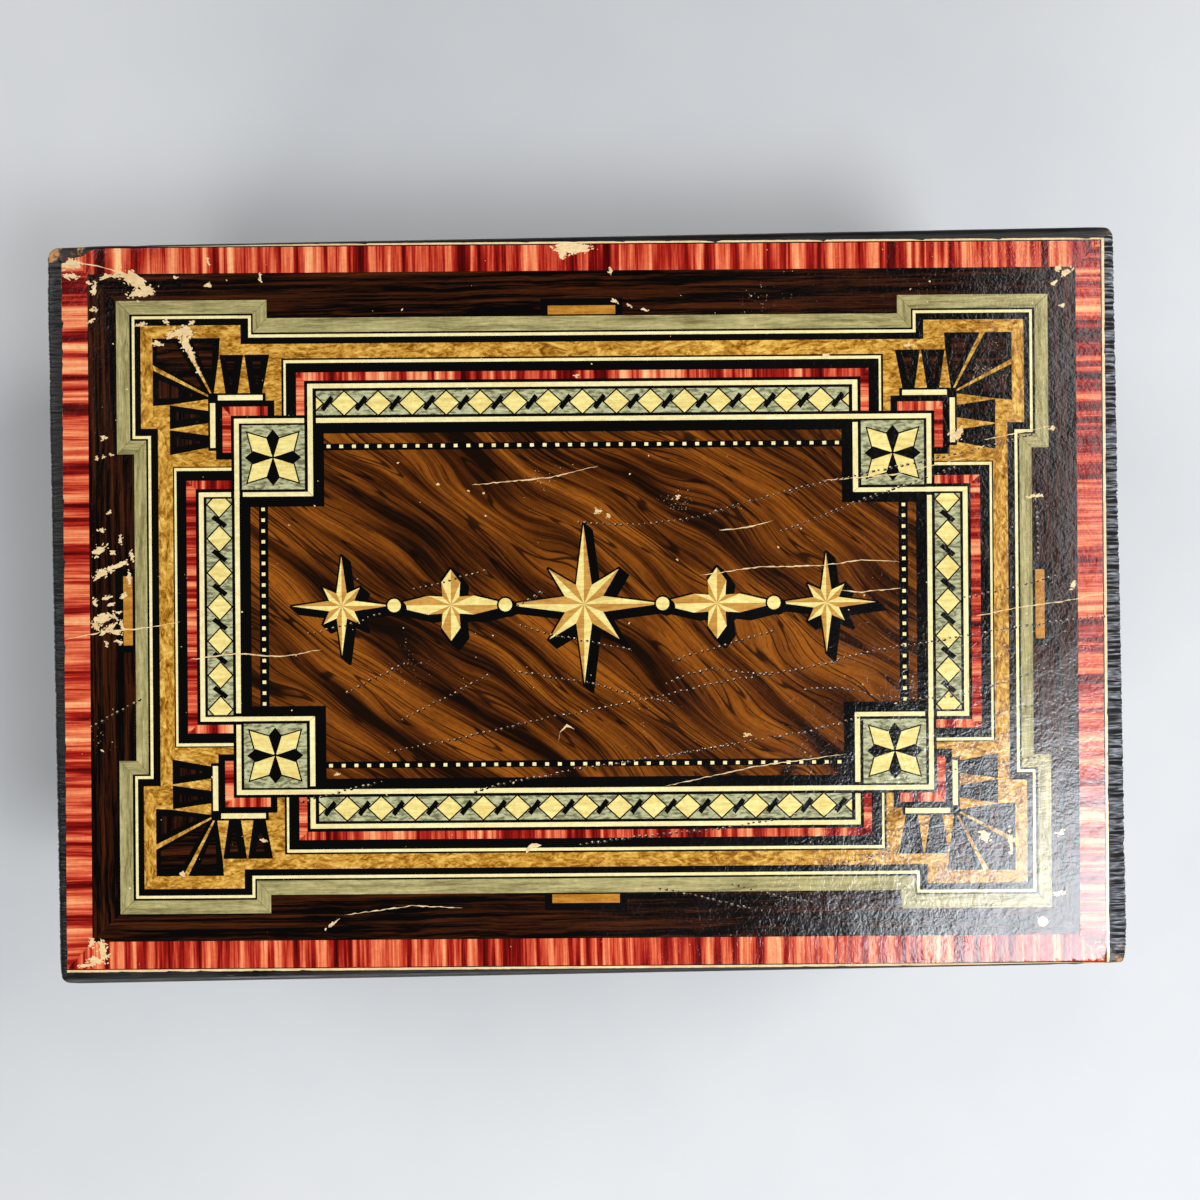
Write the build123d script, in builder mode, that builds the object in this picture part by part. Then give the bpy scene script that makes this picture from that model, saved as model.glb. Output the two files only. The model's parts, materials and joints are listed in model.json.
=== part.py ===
from build123d import *
import os

# Work box: a wooden case with a flat overhanging lid and base, a lift-out tray and a small lock.
# X runs along the front, Y from front to back, Z up from the table. All sizes are in millimetres.

# Lid and base boards
board_length = 270.0
board_depth = 186.3
board_corner_radius = 2.5
board_edge_round = 1.5
lid_thickness = 7.0
base_thickness = 6.0

# Printed paper label on the lid, pasted on slightly crooked
label_length = 263.1
label_depth = 182.8
label_thickness = 0.25
label_turn = -0.65
label_shift_x = -0.2
label_shift_y = 0.4
label_edge_margin = 0.05

# Case sides and their paper lining
end_overhang = 4.0
side_overhang = 4.15
panel_thickness = 7.0
case_height = 82.0
finger_count = 9
lining_thickness = 0.3
lining_rim_margin = 1.0

# Pins through the base board, and the clearance of every shank in its hole
pin_radius = 0.6
pin_length = 16.0
pin_head_radius = 1.1
pin_head_thickness = 0.6
pin_sink = 0.2
shank_clearance = 0.05
pin_end_margin = 16.0
front_pin_count = 4
side_pin_count = 2
side_pin_spacing = 80.0

# Lid battens and the lid lining
batten_width = 12.0
batten_thickness = 5.0
batten_end_margin = 6.7
batten_inset = 25.0
batten_edge_round = 1.0
batten_pin_radius = 0.5
batten_pin_length = 9.0
batten_pin_head_radius = 0.9
batten_pin_head_thickness = 0.5
batten_pin_count = 3
batten_pin_margin = 15.0
lid_lining_clearance = 1.2

# Butt hinges
hinge_length = 25.0
hinge_end_distance = 45.0
knuckle_count = 5
knuckle_gap = 0.1
barrel_radius = 1.8
barrel_clearance = 0.3
hinge_pin_radius = 0.9
running_clearance = 0.05
hinge_setback = 0.43
leaf_thickness = 1.0
leaf_gap = 0.1
leaf_reach = 6.6
leaf_clearance = 0.05
leaf_barrel_gap = 0.2
hinge_screw_spacing = 15.0

# Countersunk wood screws
screw_radius = 0.8
screw_head_radius = 1.5
screw_head_clearance = 0.06
screw_slot_width = 0.4
screw_slot_depth = 0.25
hinge_screw_length = 5.0
lock_screw_length = 4.5

# Box lock in the front panel
lock_plate_width = 34.0
lock_plate_height = 20.0
lock_plate_thickness = 1.0
lock_top_depth = 6.2
lock_body_width = 26.0
lock_body_margin = 1.0
lock_wall = 1.0
lock_cavity_depth = 4.2
lock_cap_thickness = 0.6
mortise_clearance = 0.1
lock_screw_inset = 2.1
lock_screw_end_inset = 3.5

# Staple on the lid that drops into the lock
staple_offset = 5.0
staple_thickness = 1.5
staple_width = 3.4
staple_length = 8.0
staple_foot = 1.2
staple_window_width = 1.8
staple_window_height = 3.7
staple_slot_clearance = 0.4
link_screw_spacing = 24.0

# Sliding bolt, its guide posts and its spring
bolt_thickness = 1.2
bolt_height = 6.0
bolt_tail = 11.0
bolt_neck = 1.0
bolt_travel = 3.0
bolt_staple_gap = 0.6
finger_height = 3.0
post_radius = 0.8
post_shoulder_radius = 1.6
post_spacing = 5.0
post_inset = 1.5
post_drop = 1.9
post_clearance = 0.06
talon_radius = 1.4
spring_thickness = 0.4
spring_width = 1.6
spring_clearance = 0.1
spring_leg = 6.0
spring_top_gap = 0.6
spring_bend = 0.8
spring_arm = 9.0

# Keyhole and its plate
key_drop = 14.0
key_post_radius = 0.8
keyhole_radius = 1.9
keyhole_slot_width = 1.6
keyhole_slot_drop = 5.0
escutcheon_width = 15.0
escutcheon_height = 22.0
escutcheon_thickness = 0.8
escutcheon_edge_round = 0.4
escutcheon_pin_radius = 0.4
escutcheon_pin_head_radius = 0.8
escutcheon_pin_head_thickness = 0.4
escutcheon_pin_inset = 1.9
escutcheon_pin_cover = 0.3

# Tray and its rests
tray_seat = 47.0
rest_width = 5.0
rest_height = 6.0
rest_end_margin = 2.0
tray_clearance = 1.0
tray_height = 30.0
tray_wall = 3.0
tray_floor = 2.0
divider_thickness = 2.0
divider_drop = 2.0
cell_width = 62.0
right_cell_depth = 50.0

# Pincushion in the tray's middle cell
cushion_clearance = 0.8
cushion_rise = 4.0
cushion_corner = 6.0
cushion_pinch = 1.0

# Sizes that follow from the ones above
case_length = board_length - 2 * end_overhang
case_depth = board_depth - 2 * side_overhang
inner_length = case_length - 2 * panel_thickness
inner_depth = case_depth - 2 * panel_thickness
lined_length = inner_length - 2 * lining_thickness
lined_depth = inner_depth - 2 * lining_thickness
case_bottom = base_thickness
seam = case_bottom + case_height
lid_top = seam + lid_thickness
front_face = -case_depth / 2
front_inside = front_face + panel_thickness
back_face = case_depth / 2

# Planes on the outer faces of the case; each looks outwards
front_plane = Plane(origin=(0, front_face, 0), x_dir=(1, 0, 0), z_dir=(0, -1, 0))
back_plane = Plane(origin=(0, back_face, 0), x_dir=(-1, 0, 0), z_dir=(0, 1, 0))
right_plane = Plane(origin=(case_length / 2, 0, 0), x_dir=(0, 1, 0), z_dir=(1, 0, 0))
left_plane = Plane(origin=(-case_length / 2, 0, 0), x_dir=(0, -1, 0), z_dir=(-1, 0, 0))

upright = (Align.CENTER, Align.CENTER, Align.MIN)

os.makedirs("parts", exist_ok=True)


def save(name, piece):
    """Label a finished piece and write it under its own name."""
    piece.part.label = name
    export_step(piece.part, f"parts/{name}.step")


def facing(x, y, z, direction):
    """A place whose own upward direction points along the given direction."""
    return Plane(origin=(x, y, z), x_dir=(1, 0, 0), z_dir=direction)


def box_between(low, high, mode=Mode.ADD):
    """Add or cut a block between its lowest and highest corners."""
    with Locations(tuple((a + b) / 2 for a, b in zip(low, high))):
        Box(high[0] - low[0], high[1] - low[1], high[2] - low[2], mode=mode)


def board(thickness, bottom):
    """Add a board with rounded corners and rounded top and bottom edges."""
    with BuildSketch(Plane.XY.offset(bottom)) as outline:
        RectangleRounded(board_length, board_depth, board_corner_radius)
    slab = extrude(outline.sketch, amount=thickness)
    fillet(slab.edges().group_by(Axis.Z)[-1] + slab.edges().group_by(Axis.Z)[0], radius=board_edge_round)


def screws(places, length):
    """Countersunk slotted screws, with their heads flush with the face at each place."""
    head_height = screw_head_radius - screw_radius
    with BuildPart() as group:
        with Locations(*places):
            with Locations((0, 0, -head_height)):
                Cone(screw_radius, screw_head_radius, head_height, align=upright)
            with Locations((0, 0, -length)):
                Cylinder(screw_radius, length - head_height, align=upright)
            Box(2 * screw_head_radius, screw_slot_width, 2 * screw_slot_depth, mode=Mode.SUBTRACT)
    return group


def cut_screw_seats(places):
    """Cut a countersunk hole through a metal plate at each place."""
    with Locations(*places):
        CounterSinkHole(screw_radius + shank_clearance, screw_head_radius + screw_head_clearance,
                        depth=lock_plate_thickness + leaf_thickness, counter_sink_angle=90)


def cut_shanks(places, radius, length):
    """Cut a round hole for a pin or screw shank, from each place down along its own axis."""
    with Locations(*places):
        with Locations((0, 0, -length)):
            Cylinder(radius + shank_clearance, length, align=upright, mode=Mode.SUBTRACT)


def headed_pins(places, radius, length, head_radius, head_thickness):
    """Straight pins with a flat head on the face at each place, running down from it."""
    with BuildPart() as group:
        with Locations(*places):
            with Locations((0, 0, -head_thickness)):
                Cylinder(head_radius, head_thickness, align=upright)
            with Locations((0, 0, -length)):
                Cylinder(radius, length, align=upright)
    return group


# Base board and the pins driven up through it into the case sides
front_pin_row = (case_depth - panel_thickness) / 2
side_pin_row = (case_length - panel_thickness) / 2
front_pin_pitch = (case_length - 2 * pin_end_margin) / (front_pin_count - 1)
front_pin_xs = [front_pin_pitch * (number - (front_pin_count - 1) / 2) for number in range(front_pin_count)]
side_pin_ys = [side_pin_spacing * (number - (side_pin_count - 1) / 2) for number in range(side_pin_count)]
downward = (0, 0, -1)
upward = (0, 0, 1)


def pin_places(height, rows):
    """Places under the base board for the pins of the named rows, looking down."""
    spots = {
        "front": [(x, -front_pin_row) for x in front_pin_xs],
        "back": [(x, front_pin_row) for x in front_pin_xs],
        "left": [(-side_pin_row, y) for y in side_pin_ys],
        "right": [(side_pin_row, y) for y in side_pin_ys],
    }
    return [facing(x, y, height, downward) for row in rows for x, y in spots[row]]


all_rows = ("front", "back", "left", "right")

with BuildPart() as base_board:
    board(base_thickness, 0)
    cut_shanks(pin_places(0, all_rows), pin_radius, base_thickness)
    cut_shanks(pin_places(0, all_rows), pin_head_radius, pin_sink + pin_head_thickness)
save("base_board", base_board)

base_pins = headed_pins(pin_places(pin_sink, all_rows), pin_radius, pin_length,
                        pin_head_radius, pin_head_thickness)
save("base_pins", base_pins)


def case_side(plane, length, own_finger, pin_row):
    """Add one case side, notched at both ends where the neighbouring side's fingers pass."""
    finger_step = case_height / finger_count
    with BuildSketch(plane) as outline:
        with Locations((0, case_bottom + case_height / 2)):
            Rectangle(length, case_height)
        for finger in range(finger_count):
            if finger % 2 != own_finger:
                middle = case_bottom + finger_step * (finger + 0.5)
                end = (length - panel_thickness) / 2
                with Locations((-end, middle), (end, middle)):
                    Rectangle(panel_thickness, finger_step, mode=Mode.SUBTRACT)
    extrude(outline.sketch, amount=-panel_thickness)
    cut_shanks(pin_places(case_bottom, [pin_row]), pin_radius, pin_sink + pin_length - base_thickness)


with BuildPart() as left_panel:
    case_side(left_plane, case_depth, 1, "left")
save("left_panel", left_panel)

with BuildPart() as right_panel:
    case_side(right_plane, case_depth, 1, "right")
save("right_panel", right_panel)

# Hinge leaves lie in beds on both sides of the seam; the barrel stands just outside the back face
hinge_axis_y = back_face + hinge_setback
hinge_x = case_length / 2 - hinge_end_distance
hinge_centres = {"left": -hinge_x, "right": hinge_x}
lower_leaf_top = seam - leaf_gap / 2
lower_leaf_floor = lower_leaf_top - leaf_thickness
upper_leaf_floor = seam + leaf_gap / 2
upper_leaf_top = upper_leaf_floor + leaf_thickness
leaf_inner_y = back_face - leaf_reach
leaf_outer_y = hinge_axis_y - barrel_radius - leaf_barrel_gap
leaf_middle_y = (leaf_inner_y + leaf_outer_y) / 2
knuckle_pitch = hinge_length / knuckle_count


def hinge_screw_places(centre, height, direction):
    """The two screw places on one leaf, on the leaf's inner face."""
    half = hinge_screw_spacing / 2
    return [facing(x, leaf_middle_y, height, direction) for x in (centre - half, centre + half)]


def cut_hinge_seats(leaf_floor, leaf_top):
    """Cut the leaf beds and the barrel pockets of both hinges."""
    for centre in hinge_centres.values():
        half = hinge_length / 2 + leaf_clearance
        box_between((centre - half, leaf_inner_y - leaf_clearance, leaf_floor),
                    (centre + half, hinge_axis_y, leaf_top), Mode.SUBTRACT)
        with Locations(Plane(origin=(centre, hinge_axis_y, seam), x_dir=(0, 1, 0), z_dir=(1, 0, 0))):
            Cylinder(barrel_radius + barrel_clearance, 2 * half, mode=Mode.SUBTRACT)


def hinge_leaf(centre, leaf_floor, first_knuckle, screw_height, screw_direction):
    """One leaf with its own knuckles rolled round the pin."""
    with BuildPart() as leaf:
        box_between((centre - hinge_length / 2, leaf_inner_y, leaf_floor),
                    (centre + hinge_length / 2, leaf_outer_y, leaf_floor + leaf_thickness))
        for knuckle in range(first_knuckle, knuckle_count, 2):
            start = centre - hinge_length / 2 + knuckle * knuckle_pitch + knuckle_gap / 2
            with BuildSketch(Plane.YZ.offset(start)):
                with Locations((hinge_axis_y, seam)):
                    Circle(barrel_radius)
                with Locations(((leaf_outer_y + hinge_axis_y) / 2, leaf_floor + leaf_thickness / 2)):
                    Rectangle(hinge_axis_y - leaf_outer_y, leaf_thickness)
            extrude(amount=knuckle_pitch - knuckle_gap)
        with Locations(Plane(origin=(centre, hinge_axis_y, seam), x_dir=(0, 1, 0), z_dir=(1, 0, 0))):
            Cylinder(hinge_pin_radius + running_clearance, hinge_length, mode=Mode.SUBTRACT)
        cut_screw_seats(hinge_screw_places(centre, screw_height, screw_direction))
    return leaf


lower_screw_places = []
upper_screw_places = []
for side, centre in hinge_centres.items():
    lower_screw_places += hinge_screw_places(centre, lower_leaf_top, upward)
    upper_screw_places += hinge_screw_places(centre, upper_leaf_floor, downward)
    save(f"hinge_leaf_lower_{side}", hinge_leaf(centre, lower_leaf_floor, 0, lower_leaf_top, upward))
    save(f"hinge_leaf_upper_{side}", hinge_leaf(centre, upper_leaf_floor, 1, upper_leaf_floor, downward))
    with BuildPart() as hinge_pin:
        with Locations(Plane(origin=(centre, hinge_axis_y, seam), x_dir=(0, 1, 0), z_dir=(1, 0, 0))):
            Cylinder(hinge_pin_radius, hinge_length)
    save(f"hinge_pin_{side}", hinge_pin)
save("hinge_screws_lower", screws(lower_screw_places, hinge_screw_length))
save("hinge_screws_upper", screws(upper_screw_places, hinge_screw_length))

with BuildPart() as back_panel:
    case_side(back_plane, case_length, 0, "back")
    cut_hinge_seats(lower_leaf_floor, seam)
    cut_shanks(lower_screw_places, screw_radius, hinge_screw_length)
save("back_panel", back_panel)

# Lock: its plate lies flush in the front panel's inner face and rim, its body in a deeper mortise
key_height = seam - key_drop
lock_plate_bottom = seam - lock_plate_height
lock_body_bottom = lock_plate_bottom + lock_body_margin
lock_body_top = seam - lock_plate_thickness
lock_cavity_back = front_inside - lock_plate_thickness
lock_cavity_front = lock_cavity_back - lock_cavity_depth
lock_cap_front = lock_cavity_front - lock_cap_thickness
lock_top_front = front_inside - lock_top_depth
lock_middle_y = (lock_cavity_front + lock_cavity_back) / 2
plate_half = lock_plate_width / 2
body_half = lock_body_width / 2
plate_bed = plate_half + mortise_clearance
body_bed = body_half + mortise_clearance
inward = (0, 1, 0)
outward = (0, -1, 0)
lock_screw_x = plate_half - lock_screw_inset
lock_screw_heights = (lock_plate_bottom + lock_screw_end_inset, seam - lock_screw_end_inset)
lock_screw_places = [facing(side * lock_screw_x, front_inside, z, inward)
                     for side in (-1, 1) for z in lock_screw_heights]
escutcheon_front = front_face - escutcheon_thickness
escutcheon_pin_reach = escutcheon_height / 2 - escutcheon_pin_inset
escutcheon_pin_front = escutcheon_front - escutcheon_pin_head_thickness
escutcheon_pin_end = lock_cap_front - mortise_clearance - escutcheon_pin_cover
escutcheon_pin_length = escutcheon_pin_end - escutcheon_pin_front
escutcheon_pin_places = [facing(0, escutcheon_pin_front, key_height + side * escutcheon_pin_reach, outward)
                         for side in (-1, 1)]


def cut_keyhole(front, thickness):
    """Cut the keyhole, a round hole with a slot below it, inwards from a plane facing the front."""
    with BuildSketch(Plane(origin=(0, front, 0), x_dir=(1, 0, 0), z_dir=outward)) as outline:
        with Locations((0, key_height)):
            Circle(keyhole_radius)
        with Locations((0, key_height - keyhole_slot_drop / 2)):
            Rectangle(keyhole_slot_width, keyhole_slot_drop)
    extrude(outline.sketch, amount=-thickness, mode=Mode.SUBTRACT)


with BuildPart() as front_panel:
    case_side(front_plane, case_length, 0, "front")
    box_between((-body_bed, lock_cap_front - mortise_clearance, lock_body_bottom - mortise_clearance),
                (body_bed, front_inside, seam), Mode.SUBTRACT)
    box_between((-plate_bed, lock_cavity_back, lock_plate_bottom - mortise_clearance),
                (plate_bed, front_inside, seam), Mode.SUBTRACT)
    box_between((-plate_bed, lock_top_front - mortise_clearance, lock_body_top),
                (plate_bed, front_inside, seam), Mode.SUBTRACT)
    cut_keyhole(front_face, panel_thickness)
    cut_shanks(lock_screw_places, screw_radius, lock_screw_length)
    cut_shanks(escutcheon_pin_places, escutcheon_pin_radius, escutcheon_pin_length)
save("front_panel", front_panel)

# The staple hangs in the lock; the bolt's finger passes through its window
staple_bottom = seam - staple_length
window_bottom = staple_bottom + staple_foot
finger_middle = window_bottom + staple_window_height / 2
bolt_top = finger_middle + finger_height / 2
bolt_bottom = bolt_top - bolt_height
bolt_back = lock_middle_y + bolt_thickness / 2
bolt_front = lock_middle_y - bolt_thickness / 2
finger_tip = staple_offset - bolt_staple_gap
post_xs = (bolt_neck - post_inset, bolt_neck - post_inset - post_spacing)
post_height = bolt_top - post_drop

with BuildPart() as lock_frame:
    box_between((-plate_half, lock_cavity_back, lock_plate_bottom), (plate_half, front_inside, seam))
    box_between((-plate_half, lock_top_front, lock_body_top), (plate_half, front_inside, seam))
    box_between((-body_half, lock_cavity_front, lock_body_bottom),
                (body_half, lock_cavity_back, lock_body_top))
    box_between((-body_half + lock_wall, lock_cavity_front, lock_body_bottom + lock_wall),
                (body_half - lock_wall, lock_cavity_back, lock_body_top), Mode.SUBTRACT)
    slot_half = staple_width / 2 + staple_slot_clearance
    box_between((staple_offset - staple_slot_clearance, lock_middle_y - slot_half, lock_body_top),
                (staple_offset + staple_thickness + staple_slot_clearance, lock_middle_y + slot_half, seam),
                Mode.SUBTRACT)
    with Locations(*[facing(x, lock_cavity_back, post_height, outward) for x in post_xs]):
        Cylinder(post_radius, lock_cavity_depth, align=upright)
        Cylinder(post_shoulder_radius, lock_cavity_back - bolt_back - post_clearance, align=upright)
    with Locations(facing(0, lock_cavity_back, key_height, outward)):
        Cylinder(key_post_radius, lock_cavity_depth + lock_cap_thickness, align=upright)
    cut_screw_seats(lock_screw_places)
save("lock_frame", lock_frame)

save("lock_screws", screws(lock_screw_places, lock_screw_length))

with BuildPart() as lock_cap:
    box_between((-body_half, lock_cap_front, lock_body_bottom), (body_half, lock_cavity_front, lock_body_top))
    cut_keyhole(lock_cap_front, lock_cap_thickness)
save("lock_cap", lock_cap)

with BuildPart() as lock_bolt:
    box_between((-bolt_tail, bolt_front, bolt_bottom), (bolt_neck, bolt_back, bolt_top))
    box_between((bolt_neck, bolt_front, finger_middle - finger_height / 2), (finger_tip, bolt_back, bolt_top))
    slot_radius = post_radius + post_clearance
    slot_length = post_spacing + bolt_travel + 2 * slot_radius
    slot_middle = (post_xs[0] + post_xs[1] - bolt_travel) / 2
    with BuildSketch(Plane(origin=(0, bolt_front, 0), x_dir=(1, 0, 0), z_dir=outward)):
        with Locations((slot_middle, post_height)):
            SlotOverall(slot_length, 2 * slot_radius)
        with Locations((-bolt_travel / 2, bolt_bottom)):
            Circle(talon_radius)
    extrude(amount=-bolt_thickness, mode=Mode.SUBTRACT)
save("lock_bolt", lock_bolt)

with BuildPart() as lock_spring:
    leg_x = -body_half + lock_wall + spring_thickness / 2
    arm_start = lock_body_top - spring_top_gap - spring_thickness / 2
    arm_end = bolt_top + spring_clearance + spring_thickness / 2
    with BuildSketch(Plane(origin=(0, lock_middle_y - spring_width / 2, 0), x_dir=(1, 0, 0), z_dir=outward)):
        with BuildLine():
            FilletPolyline((leg_x, arm_start - spring_leg), (leg_x, arm_start), (leg_x + spring_arm, arm_end),
                           radius=spring_bend)
        trace(line_width=spring_thickness)
    extrude(amount=-spring_width)
save("lock_spring", lock_spring)

with BuildPart() as escutcheon:
    with BuildSketch(front_plane):
        with Locations((0, key_height)):
            Ellipse(escutcheon_width / 2, escutcheon_height / 2)
    extrude(amount=escutcheon_thickness)
    fillet(escutcheon.edges().group_by(Axis.Y)[0], radius=escutcheon_edge_round)
    cut_keyhole(escutcheon_front, escutcheon_thickness)
    cut_shanks(escutcheon_pin_places, escutcheon_pin_radius, escutcheon_pin_length)
save("escutcheon", escutcheon)

save("escutcheon_pins", headed_pins(escutcheon_pin_places, escutcheon_pin_radius, escutcheon_pin_length,
                                    escutcheon_pin_head_radius, escutcheon_pin_head_thickness))

# Paper lining of the case, cut away round the lock plate
with BuildPart() as case_lining:
    lining_top = seam - lining_rim_margin
    box_between((-inner_length / 2, -inner_depth / 2, case_bottom),
                (inner_length / 2, inner_depth / 2, lining_top))
    box_between((-lined_length / 2, -lined_depth / 2, case_bottom + lining_thickness),
                (lined_length / 2, lined_depth / 2, lining_top), Mode.SUBTRACT)
    box_between((-plate_bed, front_inside, lock_plate_bottom - mortise_clearance),
                (plate_bed, front_inside + lining_thickness, seam), Mode.SUBTRACT)
save("case_lining", case_lining)

# Lid: board, label, link plate with its staple, battens and lining
link_middle_y = (lock_top_front + front_inside) / 2
link_screw_places = [facing(side * link_screw_spacing / 2, link_middle_y, seam, downward) for side in (-1, 1)]
batten_length = lined_depth - 2 * batten_end_margin
batten_outer = lined_length / 2 - batten_inset
batten_bottom = seam - batten_thickness
batten_centre = batten_outer - batten_width / 2
batten_pin_pitch = (batten_length - 2 * batten_pin_margin) / (batten_pin_count - 1)
batten_pin_ys = [batten_pin_pitch * (number - (batten_pin_count - 1) / 2)
                 for number in range(batten_pin_count)]


def batten_pin_places(sides):
    """Places on the battens' lower faces for the pins of the given sides, looking down."""
    return [facing(side * batten_centre, y, batten_bottom, downward) for side in sides for y in batten_pin_ys]


with BuildPart() as lid_board:
    board(lid_thickness, seam)
    cut_hinge_seats(seam, upper_leaf_top)
    cut_shanks(upper_screw_places, screw_radius, hinge_screw_length)
    box_between((-plate_bed, lock_top_front - mortise_clearance, seam),
                (plate_bed, front_inside + mortise_clearance, seam + lock_plate_thickness), Mode.SUBTRACT)
    cut_shanks(link_screw_places, screw_radius, lock_screw_length)
    cut_shanks(batten_pin_places((-1, 1)), batten_pin_radius, batten_pin_length)
save("lid_board", lid_board)

with BuildPart() as lid_label:
    with BuildSketch(Plane.XY.offset(lid_top)):
        with Locations((label_shift_x, label_shift_y)):
            Rectangle(label_length, label_depth, rotation=label_turn)
        edge = board_edge_round + label_edge_margin
        RectangleRounded(board_length - 2 * edge, board_depth - 2 * edge,
                         board_corner_radius - board_edge_round, mode=Mode.INTERSECT)
    extrude(amount=label_thickness)
save("lid_label", lid_label)

with BuildPart() as link_plate:
    box_between((-plate_half, lock_top_front, seam), (plate_half, front_inside, seam + lock_plate_thickness))
    box_between((staple_offset, lock_middle_y - staple_width / 2, staple_bottom),
                (staple_offset + staple_thickness, lock_middle_y + staple_width / 2, seam))
    box_between((staple_offset, lock_middle_y - staple_window_width / 2, window_bottom),
                (staple_offset + staple_thickness, lock_middle_y + staple_window_width / 2,
                 window_bottom + staple_window_height), Mode.SUBTRACT)
    cut_screw_seats(link_screw_places)
save("link_plate", link_plate)

save("link_screws", screws(link_screw_places, lock_screw_length))

for side, name in ((-1, "lid_batten_left"), (1, "lid_batten_right")):
    with BuildPart() as batten:
        box_between((side * batten_centre - batten_width / 2, -batten_length / 2, batten_bottom),
                    (side * batten_centre + batten_width / 2, batten_length / 2, seam))
        fillet(batten.edges().group_by(Axis.Z)[0], radius=batten_edge_round)
        cut_shanks(batten_pin_places([side]), batten_pin_radius, batten_pin_length)
        cut_shanks(batten_pin_places([side]), batten_pin_head_radius, batten_pin_head_thickness)
    save(name, batten)

save("batten_pins", headed_pins(batten_pin_places((-1, 1)), batten_pin_radius, batten_pin_length,
                                batten_pin_head_radius, batten_pin_head_thickness))

with BuildPart() as lid_lining:
    with BuildSketch(Plane.XY.offset(seam - lining_thickness)):
        Rectangle(lined_length - 2 * lid_lining_clearance, lined_depth - 2 * lid_lining_clearance)
        with Locations((-batten_centre, 0), (batten_centre, 0)):
            Rectangle(batten_width, batten_length, mode=Mode.SUBTRACT)
    extrude(amount=lining_thickness)
save("lid_lining", lid_lining)

# Strips that carry the tray
rest_starts = {"tray_rest_left": -lined_length / 2, "tray_rest_right": lined_length / 2 - rest_width}
for name, start in rest_starts.items():
    with BuildPart() as tray_rest:
        box_between((start, -lined_depth / 2 + rest_end_margin, tray_seat - rest_height),
                    (start + rest_width, lined_depth / 2 - rest_end_margin, tray_seat))
    save(name, tray_rest)

# Tray: a thin floor, four walls standing on it and seven dividers between them
tray_half_length = (lined_length - 2 * tray_clearance) / 2
tray_half_depth = (lined_depth - 2 * tray_clearance) / 2
inside_half_length = tray_half_length - tray_wall
inside_half_depth = tray_half_depth - tray_wall
tray_deck = tray_seat + tray_floor
tray_top = tray_seat + tray_height
divider_top = tray_top - divider_drop
cell_half = cell_width / 2
cell_outer = cell_half + divider_thickness
right_half = right_cell_depth / 2
right_outer = right_half + divider_thickness

# Each tray piece by its reach along X, along Y and up
whole_x = (-tray_half_length, tray_half_length)
whole_y = (-tray_half_depth, tray_half_depth)
inside_y = (-inside_half_depth, inside_half_depth)
cell_x = (-cell_half, cell_half)
left_y = (-divider_thickness / 2, divider_thickness / 2)
right_x = (cell_outer, inside_half_length)
wall_z = (tray_deck, tray_top)
divider_z = (tray_deck, divider_top)
tray_pieces = {
    "tray_bottom": (whole_x, whole_y, (tray_seat, tray_deck)),
    "tray_front": (whole_x, (-tray_half_depth, -inside_half_depth), wall_z),
    "tray_back": (whole_x, (inside_half_depth, tray_half_depth), wall_z),
    "tray_left": ((-tray_half_length, -inside_half_length), inside_y, wall_z),
    "tray_right": ((inside_half_length, tray_half_length), inside_y, wall_z),
    "cross_divider_left": ((-cell_outer, -cell_half), inside_y, divider_z),
    "cross_divider_right": ((cell_half, cell_outer), inside_y, divider_z),
    "middle_divider_front": (cell_x, (-cell_outer, -cell_half), divider_z),
    "middle_divider_back": (cell_x, (cell_half, cell_outer), divider_z),
    "left_divider": ((-inside_half_length, -cell_outer), left_y, divider_z),
    "right_divider_front": (right_x, (-right_outer, -right_half), divider_z),
    "right_divider_back": (right_x, (right_half, right_outer), divider_z),
}
for name, reaches in tray_pieces.items():
    with BuildPart() as tray_piece:
        box_between(*zip(*reaches))
    save(name, tray_piece)

# Pincushion: fullest a third of the way up, its sides drawn in between the corners, crowned on top
cushion_half = cell_half - cushion_clearance
cushion_height = tray_top + cushion_rise - tray_deck
cushion_rings = {0.0: 0.10, 0.15: 0.02, 0.4: 0.0, 0.65: 0.02, 0.83: 0.14, 0.94: 0.36, 1.0: 0.68}

with BuildPart() as pincushion:
    for rise, narrowing in cushion_rings.items():
        half = cushion_half * (1 - narrowing)
        waist = half - cushion_pinch * (1 - narrowing)
        corners = [(half, half), (-half, half), (-half, -half), (half, -half)]
        waists = [(0, waist), (-waist, 0), (0, -waist), (waist, 0)]
        with BuildSketch(Plane.XY.offset(tray_deck + rise * cushion_height)) as ring:
            with BuildLine():
                for start, middle, end in zip(corners, waists, corners[1:] + corners[:1]):
                    ThreePointArc(start, middle, end)
            make_face()
            fillet(ring.vertices(), radius=cushion_corner * (1 - narrowing))
    loft()
save("pincushion", pincushion)
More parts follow.
